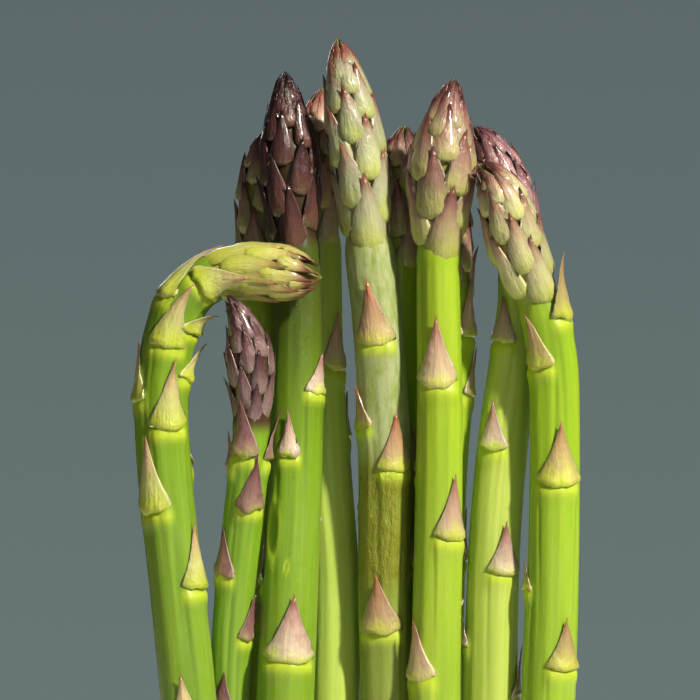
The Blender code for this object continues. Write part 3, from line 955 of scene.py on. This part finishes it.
SPEARS = (
    Spear(
        "bent_left",
        ((-37.5, -7, 0), (-39.4, -6.6, 30), (-42.2, -6, 62), (-45.3, -5.5, 92), (-47.9, -5, 117),
         (-48.9, -4.5, 136), (-47.4, -4.5, 150.5), (-43.9, -5, 160.6), (-37.4, -5.8, 167),
         (-28.5, -6.8, 168.9), (-19, -7.8, 168.5), (-9, -8.5, 167.2)),
        7.3, 6.1, 31.0, 6.7, 13, 13.0, 20.0, Skin.BENT, "spear_yellow_green",
        (Bract(9, 150, 13, 40), Bract(52.5, -4, 18, 44), Bract(72, 190, 15), Bract(88.8, 56, 18),
         Bract(99, 170, 15), Bract(108.8, -36, 20, 46), Bract(119, 140, 15), Bract(128.8, 20, 19.5, 44),
         Bract(136, -76, 15.5), Bract(142, 90, 12, 54, 2.6), Bract(149.5, 0, 19, 45), Bract(150, -150, 14),
         Bract(154.5, 74, 12, 58, 2.8), Bract(160, -66, 16, 48, -0.2), Bract(165.5, 12, 15, 50, 0.6)),
        HeadForm(crowd=1.3, stretch=1.6, width=0.27, stand=1.1, plump=1.3, depth=0.4, taper=-0.1, girth=1.13),
    ),
    Spear(
        "short_purple",
        ((-33.3, 6.9, 0), (-33.2, 5.5, 30), (-32.6, 2.5, 62), (-31.2, -1.5, 86.5), (-28.8, -5.5, 108),
         (-27.2, -8, 122), (-26.4, -9.5, 137), (-27.3, -11, 149.5), (-29.5, -12, 158), (-32.6, -12.7, 163)),
        5.2, 4.5, 36.0, 6.7, 18, 10.5, 10.0, Skin.SHORT, "spear_purple_tip",
        (Bract(10, -100, 12), Bract(46, -160, 12), Bract(58, -20, 13, 44), Bract(77.5, 62, 13, 44),
         Bract(85, 170, 13), Bract(93.3, -48, 14, 46), Bract(103, 165, 13), Bract(110.5, 22, 14.8, 48),
         Bract(120, -80, 10), Bract(121.8, 95, 15, 48, 1.5), Bract(123, -20, 16, 50, 0.6)),
        HeadForm(crowd=1.5, stretch=1.35, width=0.27, stand=1.4, plump=1.1, bare=4.0, depth=0.8, taper=0.35),
    ),
    Spear(
        "tall_dark",
        ((-21.5, -3.5, 0), (-20.2, -3, 30), (-18.6, -2, 62), (-17.4, -0.5, 87), (-16.3, 2.3, 115),
         (-15.6, 4.8, 145), (-15.5, 6, 165), (-16.6, 6.8, 185), (-17.6, 7.2, 200), (-18.8, 7.4, 220)),
        7.8, 6.0, 47.0, 8.1, 19, 13.5, 0.0, Skin.DARK, "spear_purple_tip",
        (Bract(8, -60, 15), Bract(46, 200, 15), Bract(71.3, 8, 17.5, 58), Bract(90, -120, 15),
         Bract(105, 150, 15), Bract(121.8, -12, 12.5, 26), Bract(138, 60, 11), Bract(150, 180, 14)),
        HeadForm(crowd=1.4, stretch=1.35, width=0.25, stand=1.35, plump=1.4, bare=6.0, depth=0.3, taper=0.3,
                 gather=1.7),
        (Scar(104, -46, 7.0, 1.9, 0.9), Scar(95, -8, 1.6, 0.5, 0.2)),
    ),
    Spear(
        "back_left",
        ((-22.5, 14, 0), (-23.6, 13.2, 30), (-25, 13, 62), (-25.4, 14, 100), (-25.2, 15.8, 135),
         (-25, 18, 165), (-24.8, 19.5, 185), (-23.6, 20, 206)),
        6.7, 5.8, 40.0, 6.9, 15, 13.0, 70.0, Skin.FRESH, "spear_purple_tip",
        (Bract(8, 200, 14), *spiral(42, 19, 6, 110)),
        HeadForm(stand=1.2, bare=5.0),
    ),
    Spear(
        "back_centre",
        ((-7, 7.5, 0), (-6.7, 7.8, 30), (-6.3, 8.5, 62), (-6.3, 11.3, 92), (-8, 14.1, 115),
         (-9.6, 16.6, 138), (-10.2, 18.8, 165), (-10.2, 21, 190), (-9.2, 21.5, 217)),
        6.9, 5.7, 42.0, 6.7, 15, 13.5, 40.0, Skin.PALE, "spear_green",
        (Bract(7, 200, 15), Bract(44, 70, 14, 40), Bract(66, -150, 15), Bract(90, 130, 15),
         Bract(108, -170, 15), Bract(126, 110, 14), Bract(143.5, 44, 16), Bract(158, 180, 15)),
    ),
    Spear(
        "tall_centre",
        ((6, 1, 0), (6.4, 1.5, 30), (7, 2, 62), (6.4, 2, 90), (6.7, 2, 117), (5.9, 2, 140), (4.5, 2, 158),
         (3, 2, 171), (1.8, 2, 182), (-0.4, 2, 199.5), (-2.6, 2, 212.5), (-5.5, 2, 227.5)),
        7.0, 6.2, 55.0, 7.4, 18, 16.0, 5.0, Skin.DULL, "spear_grey_green",
        (Bract(9, 80, 14), Bract(48, -35, 15), Bract(61, 160, 15), Bract(78.5, -12, 15.8, 50),
         Bract(94, 130, 15), Bract(108, -140, 15), Bract(118.8, 24, 15.3, 45), Bract(129.5, -66, 12, 40),
         Bract(140, 160, 15), Bract(150.3, -9, 17.5, 48)),
        HeadForm(crowd=1.4, stretch=1.25, width=0.32, taper=0.15, gather=1.6),
    ),
    Spear(
        "back_right",
        ((8.5, 16.5, 0), (9.6, 16.8, 30), (10.8, 17, 62), (11, 16.5, 100), (10.8, 16, 140),
         (10.8, 16, 170), (11, 16.5, 190), (11.8, 17, 207)),
        6.4, 5.5, 38.0, 6.6, 15, 13.0, 25.0, Skin.FRESH, "spear_green",
        (Bract(7, 170, 15), *spiral(45, 19, 6, 180)),
    ),
    Spear(
        "right_centre",
        ((18.5, -8, 0), (18.6, -7, 30), (18.8, -6, 62), (19.6, -5.5, 97), (20.2, -5, 135),
         (19.8, -4.5, 170), (20, -4, 184), (20.8, -4, 197), (22.2, -4, 209), (23.8, -4, 217)),
        6.8, 5.3, 47.0, 8.6, 18, 15.0, 18.0, Skin.FRESH, "spear_green",
        (Bract(8, 20, 15), Bract(46, 100, 15), Bract(67.5, -50, 15.5, 50), Bract(85, 150, 15),
         Bract(102, 34, 17.3, 48), Bract(118, -140, 15), Bract(139.8, -11, 18.3, 56), Bract(152, 150, 14)),
        HeadForm(crowd=1.3, stretch=1.4, width=0.33, stand=1.35, taper=0.3, gather=1.9),
    ),
    Spear(
        "behind_right",
        ((20, 9.5, 0), (20, 9, 30), (20.2, 8.3, 62), (20.8, 8, 100), (21.5, 8, 121), (23, 8.5, 141),
         (23.4, 9.6, 160), (23, 11.2, 175), (22.3, 12.5, 194)),
        6.1, 5.4, 33.0, 6.3, 14, 12.0, 90.0, Skin.FRESH, "spear_green",
        (Bract(10, 20, 13), Bract(48, 20, 14), Bract(72, 190, 14), Bract(96, 110, 14),
         Bract(118, 200, 14), Bract(137.5, 72, 13, 40), Bract(152, 50, 15, 40)),
    ),
    Spear(
        "right_purple",
        ((32, 1.5, 0), (32.3, 1.8, 30), (32.8, 2.2, 62), (33.8, 2.6, 99), (35.8, 3.4, 125),
         (38.6, 4.6, 146), (40.8, 5.6, 163), (39.8, 6.2, 177.5), (36.8, 6.4, 191.5), (32.8, 6, 200.5),
         (28.8, 5, 205.8)),
        7.3, 5.8, 43.0, 7.3, 20, 11.5, 60.0, Skin.PINK, "spear_purple_tip",
        (Bract(7, 110, 15), Bract(44, -20, 15), Bract(62, 85, 14, 40), Bract(75, -84, 8, 30),
         Bract(93, 24, 14.3, 40), Bract(108, 160, 15), Bract(123.5, -28, 13.2, 38), Bract(136, 120, 14),
         Bract(150, -40, 13, 38)),
        HeadForm(crowd=1.4, stretch=1.3, width=0.27, stand=1.25, plump=1.2, bare=5.0, depth=0.5, taper=0.1),
    ),
    Spear(
        "right_curved",
        ((45, -8, 0), (46, -6.5, 30), (47, -5, 62), (47.9, -4.6, 87), (48.4, -4.6, 112), (48.4, -5, 130),
         (47.9, -5.6, 146), (45.4, -7, 158.5), (41.8, -8.4, 167.5), (38.6, -9.6, 176), (36, -10.6, 185),
         (32.9, -11.3, 191.5), (29, -11.6, 195.3)),
        7.1, 5.9, 43.0, 7.2, 18, 13.0, 30.0, Skin.CURVED, "spear_yellow_green",
        (Bract(9, -60, 14), Bract(50, 120, 15), Bract(70, 30, 14), Bract(89.5, -80, 8, 28),
         Bract(100, 150, 15), Bract(115.5, 10, 17, 52), Bract(130, 160, 14), Bract(145, -40, 16.5),
         Bract(156, 62, 16, 50, 3.4)),
        HeadForm(crowd=1.0, stretch=1.5, width=0.29, stand=1.3, plump=1.9, bare=14.0, skip=4.0),
    ),
)


@dataclass
class GrownSpear:
    """The fine pieces of one spear: its stem with the cut end, its bracts and its head scales.

    HEAD_SWELL is the head's outline, fattest at HEAD_PEAK of its length, and CORE_SHARE how
    much of it the core under the scales takes. RIBS are the stem's waves: how many round it,
    how long a turn of them is and how high they stand. DISH is the hollow of the cut end as
    shares of its radius with their heights. COLLAR_SWELL and COLLAR_TINT are where a collar's
    bulge and its colour lie against its bract's base, and how far they reach. All sizes are in
    millimetres.
    """

    spear: Spear
    wrap: LeafWrap
    templates: dict
    stem_skin: bpy.types.Material
    leaf_skins: dict
    flesh: bpy.types.Material
    seed: int
    spine: Spine = field(init=False)
    chance: np.random.Generator = field(init=False)

    HEAD_PEAK = 0.42
    HEAD_SWELL = (
        (0.0, 0.0), (0.2, 0.55), (0.42, 1.0), (0.6, 0.98), (0.75, 0.86), (0.87, 0.64), (0.95, 0.38), (1.0, 0.06),
    )
    CORE_SHARE = 0.78
    CORE_EASE = 8.0
    TIP_SLIMMING = 0.45
    TIP_SCALES = 6
    SIDES = 88
    RING_STEP = 1.1
    GUIDE_STEP = 1.2
    FOOT_DEPTH = 0.1
    FOOT_ROUNDING = 0.35
    DISH = ((0.93, 0.05), (0.75, 0.25), (0.5, 0.3), (0.25, 0.28))
    DISH_MIDDLE = 0.28
    CUT_DRYNESS = 0.5
    RIBS = ((3, 35.0, 0.1), (5, -50.0, 0.08), (13, 90.0, 0.05))
    COLLAR_RISE = 0.55
    COLLAR_SWELL = (-0.9, 2.2)
    COLLAR_TINT = (-0.3, 1.8)
    PANEL_RISE = 0.34
    PANEL_RUN = (-48.0, -6.0)
    TRACE_DEPTH = 0.22
    TRACE_WIDTH = 0.5
    SCAR_LIP = 0.2
    GRAIN_SHIFT = 300.0
    FULL_RELIEF = {Leaf.BRACT: 4.0, Leaf.SCALE: 5.0}
    SMALLEST_RADIUS = 2.0

    def __post_init__(self) -> None:
        """Find where the CAD spear stands, and lay the path there."""
        node = bpy.data.objects[self.spear.name]
        foot = np.array([vertex.co for vertex in node.data.vertices if vertex.co.z < self.FOOT_DEPTH * MM]) / MM
        middle = (foot.min(axis=0) + foot.max(axis=0)) / 2.0
        start = np.array(self.spear.path[0], dtype=float)
        self.spine = Spine(self.spear.path, np.array([middle[0] - start[0], middle[1] - start[1], 0.0]))
        self.chance = np.random.default_rng(self.seed)

    @property
    def neck(self) -> float:
        """How far along the path the head begins."""
        return self.spine.length - self.spear.head_length

    def outline(self, distances: np.ndarray) -> np.ndarray:
        """The spear's outer shape, its head scales included.

        Args:
            distances: Distances along the path, in millimetres.

        Returns:
            The radius at each, in millimetres.
        """
        spear = self.spear
        stem = spear.foot_radius + (spear.neck_radius - spear.foot_radius) * np.clip(distances / self.neck, 0.0, 1.0)
        share = np.clip((distances - self.neck) / spear.head_length, 0.0, 1.0)
        swell = profile(self.HEAD_SWELL, share)
        widest = spear.head_radius * spear.head.girth
        low = spear.neck_radius + (widest - spear.neck_radius) * swell
        slimming = 1.0 - spear.head.taper * smooth_step(0.5, 0.95, share)
        head = np.where(share < self.HEAD_PEAK, low, widest * swell * slimming)
        return np.where(share <= 0.0, stem, head)

    def core(self, distances: np.ndarray) -> np.ndarray:
        """The stem's own shape, which goes on inside the head.

        Args:
            distances: Distances along the path, in millimetres.

        Returns:
            The radius at each, in millimetres.
        """
        inside = smooth_step(0.0, self.CORE_EASE, distances - self.neck)
        closing = smooth_step(0.55, 1.0, (distances - self.neck) / self.spear.head_length)
        return self.outline(distances) * (1.0 - (1.0 - self.CORE_SHARE) * inside) * (1.0 - self.TIP_SLIMMING * closing)

    def relief(self, along: np.ndarray, around: np.ndarray, core: np.ndarray) -> tuple[np.ndarray, ...]:
        """What stands out of the stem: ribs, collars, the panels under bracts, and scars.

        Args:
            along: Each point's distance along the path, in millimetres.
            around: Each point's bearing, in radians.
            core: The stem's radius there.

        Returns:
            The relief in millimetres, and how far each point is in a collar and in a panel.
        """
        relief = sum(
            height * np.sin(ribs * around + along / pitch + phase)
            for (ribs, pitch, height), phase in zip(self.RIBS, self.chance.uniform(0.0, 6.0, len(self.RIBS)))
        )
        collar, panel = np.zeros_like(relief), np.zeros_like(relief)
        for bract in self.spear.bracts:
            above = along - self.spine.distance_at(bract.level)
            away = np.abs(from_bearing(around, bract.bearing))
            wrap = math.radians(bract.wrap)
            inside = 1.0 - smooth_step(0.8 * wrap, 1.25 * wrap, away)
            relief += self.COLLAR_RISE * (bell(above, *self.COLLAR_SWELL) * inside)
            collar = np.maximum(collar, bell(above, *self.COLLAR_TINT) * inside)
            # A panel runs down from a bract, between the two traces of its margins
            beyond = (away - wrap * (0.92 + 0.004 * above)) * core
            running = smooth_step(*self.PANEL_RUN, above) * (above < 0.5)
            panel = np.maximum(panel, (1.0 - smooth_step(-0.35, 0.35, beyond)) * running)
            relief -= self.TRACE_DEPTH * bell(beyond, 0.0, self.TRACE_WIDTH) * running
        relief += self.PANEL_RISE * panel
        for scar in self.spear.scars:
            up = (along - self.spine.distance_at(scar.level)) / scar.length
            away = np.hypot(up, from_bearing(around, scar.bearing) * core / scar.width)
            relief -= scar.depth * (1.0 - smooth_step(0.45, 1.0, away))
            relief += self.SCAR_LIP * bell(away, 1.15, 0.25)
            collar = np.maximum(collar, 0.8 * bell(away, 1.0, 0.3))
        return relief, collar, panel

    def stem(self) -> bpy.types.Object:
        """Loft the stem with its ribs, its leaf traces and its dished cut end.

        Returns:
            The stem, closed at both ends.
        """
        length, count = self.spine.length, self.SIDES
        rings = np.concatenate([[0.0, 0.35, 1.0], np.arange(2.0, length - 0.6, self.RING_STEP), [length - 0.3]])
        points, front, side = (rows[:, None, :] for rows in self.spine.frames(rings))
        along, around = np.meshgrid(rings, np.linspace(0.0, 2.0 * math.pi, count, endpoint=False), indexing="ij")
        core = self.core(rings)[:, None]
        relief, collar, panel = self.relief(along, around, core)
        body = smooth_step(0.0, 6.0, along) * (1.0 - smooth_step(-2.0, 4.0, along - self.neck))
        radii = core + relief * body
        radii[0] -= self.FOOT_ROUNDING
        outward = front * np.cos(around)[:, :, None] + side * np.sin(around)[:, :, None]
        wall = points + outward * radii[:, :, None]
        cut_middle = points[0]
        discs = [cut_middle + (wall[0] - cut_middle) * share + np.array([0.0, 0.0, lift]) for share, lift in self.DISH]
        corners = np.vstack([
            *discs[::-1], wall.reshape(-1, 3), cut_middle + np.array([[0.0, 0.0, self.DISH_MIDDLE]]),
            self.spine.place(np.array([length])),
        ])
        cut, last = len(discs) * count, (len(discs) + len(rings) - 1) * count
        foot, tip = last + count, last + count + 1
        faces = ring_faces(len(discs) + len(rings), count)
        for left in range(count):
            right = (left + 1) % count
            faces += [(foot, right, left), (last + left, last + right, tip)]
        slots = np.zeros(len(faces), dtype=np.int32)
        slots[:cut] = 1
        slots[last::2] = 1
        mesh = bpy.data.meshes.new(self.spear.name + "_stem")
        mesh.from_pydata(corners * MM, [], faces)
        mesh.materials.append(self.stem_skin)
        mesh.materials.append(self.flesh)
        mesh.polygons.foreach_set("material_index", slots)
        mesh.polygons.foreach_set("use_smooth", np.ones(len(faces), dtype=bool))
        walled = slice(cut, foot)
        grain = corners.copy()
        grain[walled] = np.stack([np.cos(around) * core, np.sin(around) * core, along], axis=2).reshape(-1, 3)
        grain[:, 2] += self.GRAIN_SHIFT * self.seed
        place = mesh.attributes.new("grain", "FLOAT_VECTOR", "POINT").data
        place.foreach_set("vector", grain.astype(np.float32).ravel())
        values = {"level": np.clip(corners[:, 2] / self.neck, 0.0, 2.0)}
        head = smooth_step(0.0, self.spear.head.bare, along - self.neck)
        for label, grid in (("head", head), ("collar", collar * body), ("panel", panel * body)):
            values[label] = np.zeros(len(corners))
            values[label][walled] = grid.ravel()
        values["head"][cut - count:cut] = self.CUT_DRYNESS
        values["head"][cut:cut + count] = 0.0
        values["head"][-1] = 1.0
        write_values(mesh, values)
        mesh.update()
        return link_object(self.spear.name + "_stem", mesh)

    def guide(self) -> bpy.types.Object:
        """Draw the path as a curve that carries the outline as its radius.

        Returns:
            A curve that only the node tree reads.
        """
        distances = np.linspace(0.0, self.spine.length, round(self.spine.length / self.GUIDE_STEP))
        points, radii = self.spine.place(distances) * MM, self.outline(distances) * MM
        curve = bpy.data.curves.new(self.spear.name + "_guide", "CURVE")
        curve.dimensions = "3D"
        line = curve.splines.new("POLY")
        line.points.add(len(distances) - 1)
        for knot, point, radius in zip(line.points, points, radii):
            knot.co = (*point, 1.0)
            knot.radius = radius
        return link_object(self.spear.name + "_guide", curve)

    def bract_numbers(self) -> dict[str, np.ndarray]:
        """Gather what the bracts' own numbers and chance say.

        Returns:
            One array for each number, in metres and radians.
        """
        levels, bearings, lengths, wraps, lifts = (
            np.array([getattr(bract, name) for bract in self.spear.bracts])
            for name in ("level", "bearing", "length", "wrap", "lift")
        )
        count = len(levels)
        starts = np.array([self.spine.distance_at(level) for level in levels])
        return {
            "start": starts * MM,
            "size": lengths * MM,
            "bearing": np.radians(bearings),
            "half_width": np.radians(wraps) * self.outline(starts) * MM,
            "sink": np.zeros(count),
            "plump": self.chance.uniform(1.15, 1.5, count) * MM,
            "lift": lifts * MM,
            "lean": self.chance.uniform(-0.8, 0.8, count) * MM,
            "ruffle": self.chance.uniform(0.25, 0.5, count) * MM,
            "hem": self.chance.uniform(0.8, 1.6, count) * MM,
            "tint": self.chance.uniform(0.0, 1.0, count),
            "grade": np.zeros(count),
        }

    def scale_numbers(self) -> dict[str, np.ndarray]:
        """Set the head's scales by the golden angle, smaller toward a tight tip.

        Returns:
            One array for each number, in metres and radians.
        """
        spear = self.spear
        form = spear.head
        count, closing = round(spear.scales * form.crowd), self.TIP_SCALES
        rise = np.concatenate([np.arange(count) / (count - 1), np.ones(closing)])
        length = spear.scale_length * form.stretch * (1.0 - 0.36 * rise)
        length[count:] *= np.linspace(0.95, 0.55, closing)
        start = form.skip + (spear.head_length - form.skip - length) * (1.0 - (1.0 - rise) ** form.gather)
        length *= self.chance.uniform(0.94, 1.03, count + closing)
        count += closing
        turn = spear.turn + GOLDEN_ANGLE * np.arange(count) + self.chance.uniform(-5.0, 5.0, count)
        return {
            "start": (self.neck + start) * MM,
            "size": length * MM,
            "bearing": np.radians(turn),
            "half_width": length * form.width * self.chance.uniform(0.92, 1.08, count) * MM,
            "sink": np.full(count, form.plump - 0.1 + form.depth) * MM,
            "plump": np.full(count, form.plump) * MM,
            "lift": form.stand * self.chance.uniform(0.8, 1.2, count) * MM,
            "lean": self.chance.uniform(-0.7, 0.7, count) * MM,
            "ruffle": self.chance.uniform(0.25, 0.5, count) * MM,
            "hem": self.chance.uniform(0.2, 0.6, count) * MM,
            "tint": self.chance.uniform(0.0, 1.0, count),
            "grade": np.concatenate([rise[:-closing], np.linspace(1.3, 2.2, closing)]),
        }

    def build(self) -> None:
        """Make the pieces, attach them to the root body, hide the CAD spear and log them."""
        stem = self.stem()
        guide = self.guide()
        pieces = [stem]
        for kind, leaves in ((Leaf.BRACT, self.bract_numbers()), (Leaf.SCALE, self.scale_numbers())):
            pieces.append(self.wrap.grow(f"{self.spear.name}_{kind.value}s", leaves, {
                "Leaf": self.templates[kind], "Spine": guide, "Material": self.leaf_skins[kind],
                "Full Size Radius": self.FULL_RELIEF[kind] * MM, "Smallest Radius": self.SMALLEST_RADIUS * MM,
            }))
        bpy.data.objects.remove(guide, do_unlink=True)
        for piece in pieces:
            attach(piece, BODY)
            LOG.info("%s: %d faces", piece.name, len(piece.data.polygons))
        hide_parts(self.spear.name)


@dataclass
class ElasticBand:
    """The band round the stems: a flat strip that is drawn tight round the outermost ones.

    Its sizes are in millimetres: height is its middle's, rim how far its edges are rounded,
    and bulge how far its outside swells.
    """

    spears: list
    height: float = 30.0
    width: float = 8.0
    thickness: float = 1.3
    rim: float = 0.35
    bulge: float = 0.06
    clearance: float = 0.7
    directions: int = 220
    sharpest: float = 50.0

    def build(self, rubber: bpy.types.Material) -> None:
        """Sweep the strip's rounded section round the stems.

        Args:
            rubber: The band's finish.
        """
        middles, radii = [], []
        for grown in self.spears:
            middles.append(grown.spine.place(np.array([grown.spine.distance_at(self.height)]))[0, :2])
            radii.append(grown.outline(np.array([self.height]))[0])
        middles, radii = np.array(middles), np.array(radii)
        angles = 2.0 * math.pi * np.arange(self.directions) / self.directions
        outward = np.stack([np.cos(angles), np.sin(angles)], axis=1)
        nearest = np.argmax(outward @ middles.T + radii, axis=1)
        inner = middles[nearest] + outward * (radii[nearest] + self.clearance)[:, None]
        half, thick, rim = self.width / 2.0, self.thickness, self.rim
        upper = (
            (thick + self.bulge, half / 3.0), (thick, half - rim), (thick - rim, half), (rim, half), (0.0, half - rim),
        )
        section = [(out, -rise) for out, rise in upper[::-1]] + list(upper)
        corners = [
            np.hstack([inner + outward * out, np.full((self.directions, 1), self.height + rise)])
            for out, rise in section
        ]
        mesh = bpy.data.meshes.new("band_strip")
        mesh.from_pydata(np.vstack(corners) * MM, [], ring_faces(len(section), self.directions, closed=True))
        mesh.materials.append(rubber)
        mesh.shade_smooth()
        mesh.set_sharp_from_angle(angle=math.radians(self.sharpest))
        mesh.update()
        piece = link_object("band_strip", mesh)
        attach(piece, BODY)
        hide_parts("band")
        LOG.info("%s: %d faces", piece.name, len(mesh.polygons))


@dataclass
class Studio:
    """The photograph's plain grey backdrop, its hard light from the right and its level view.

    Each lamp is a name, a place and a side in metres, a power in watts and a colour.
    """

    backdrop_top: str = "#5D696A"
    backdrop_low: str = "#687675"
    soft_light: str = "#DFE3E4"
    floor: str = "#D9D8D2"
    floor_radius: float = 0.45
    middle: tuple = (0.0, 0.0, 0.13)
    lamps: tuple = (
        ("key", (0.95, -1.0, 1.2), 0.11, 50.0, "#FFF4E2"),
        ("fill", (0.1, -1.7, 0.3), 0.8, 1.2, "#EEF1F2"),
        ("back", (-0.25, 1.7, 0.8), 0.8, 7.0, "#EEF1F2"),
    )

    def build(self) -> None:
        """Set the world, the lamps, the floor and the camera."""
        self.world()
        for lamp in self.lamps:
            self.lamp(*lamp)
        self.ground()
        self.camera()
        bpy.context.scene.view_settings.view_transform = "Standard"

    def world(self) -> None:
        """Show the backdrop to the camera and a soft pale light to the object."""
        world = bpy.data.worlds.new("studio")
        bpy.context.scene.world = world
        world.use_nodes = True
        tree = world.node_tree
        tree.nodes.clear()
        look = add_node(tree, "ShaderNodeTexCoord").outputs["Generated"]
        known = vars(self) | {"height": add_node(tree, "ShaderNodeSeparateXYZ", {"Vector": look}).outputs["Z"]}
        add_steps(tree, known, (
            ("share", "RANGE", "height", -0.13, 0.13, 0.0, 1.0),
            ("backdrop", "BLEND", "share", "backdrop_low", "backdrop_top"),
        ))
        soft, seen = (
            add_node(tree, "ShaderNodeBackground", {"Color": colour, "Strength": strength}).outputs[0]
            for colour, strength in ((linear(self.soft_light), 0.06), (known["backdrop"], 1.0))
        )
        path = add_node(tree, "ShaderNodeLightPath").outputs["Is Camera Ray"]
        mixed = add_node(tree, "ShaderNodeMixShader", {0: path, 1: soft, 2: seen}).outputs[0]
        add_node(tree, "ShaderNodeOutputWorld", {"Surface": mixed})

    def lamp(self, name: str, place: tuple, size: float, power: float, colour: str) -> None:
        """Hang one square lamp that faces the bundle.

        Args:
            name: The lamp's name.
            place: Where it hangs, in metres.
            size: Its side, in metres.
            power: Its power in watts.
            colour: Its colour.
        """
        light = bpy.data.lights.new(name, "AREA")
        light.size = size
        light.energy = power
        light.color = linear(colour)[:3]
        lamp = link_object(name, light)
        lamp.location = place
        lamp.rotation_mode = "QUATERNION"
        lamp.rotation_quaternion = (Vector(self.middle) - Vector(place)).to_track_quat("-Z", "Y")

    def ground(self) -> None:
        """Lay a plain pale floor disc that ends before the photograph's lower edge."""
        material = bpy.data.materials.new("pale matt floor")
        material.use_nodes = True
        tree = material.node_tree
        connect(tree, tree.nodes["Principled BSDF"], {"Base Color": linear(self.floor), "Roughness": 0.85})
        form = bmesh.new()
        bmesh.ops.create_circle(form, cap_ends=True, segments=96, radius=self.floor_radius)
        mesh = bpy.data.meshes.new("floor")
        form.to_mesh(mesh)
        form.free()
        mesh.materials.append(material)
        floor = link_object("floor", mesh)

    def camera(self) -> None:
        """Stand level in front of the bundle, at the photograph's height and crop."""
        lens = bpy.data.cameras.new("camera")
        lens.sensor_width = SENSOR_WIDTH
        lens.lens = SENSOR_WIDTH * CAMERA_DISTANCE / (MM_PER_PIXEL * IMAGE_SIZE)
        camera = link_object("camera", lens)
        camera.location = [place * MM for place in CAMERA_PLACE]
        camera.rotation_euler = (math.radians(90.0), 0.0, 0.0)
        bpy.context.scene.camera = camera


def write_sizes() -> None:
    """Bring the view layer up to date.
    """
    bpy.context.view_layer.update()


def main() -> None:
    """Build the bundle's looks in order."""
    logging.basicConfig(level=logging.INFO)
    templates = {kind: shape.template(kind.value + "_template") for kind, shape in LEAF_SHAPES.items()}
    stems, bracts, scales = (
        {skin: finish.build() for skin, finish in finishes.items()}
        for finishes in (STEM_SKINS, BRACT_SKINS, SCALE_SKINS)
    )
    flesh = CutFlesh().build()
    wrap = LeafWrap()
    grown = []
    for number, spear in enumerate(SPEARS):
        leaf_skins = {Leaf.BRACT: bracts[spear.skin], Leaf.SCALE: scales[spear.skin]}
        grown.append(GrownSpear(spear, wrap, templates, stems[spear.skin], leaf_skins, flesh, number + 1))
    for one in grown:
        one.build()
    for template in templates.values():
        bpy.data.objects.remove(template, do_unlink=True)
    ElasticBand(grown).build(Rubber().build())
    Studio().build()
    write_sizes()


if __name__ == "__main__":
    main()
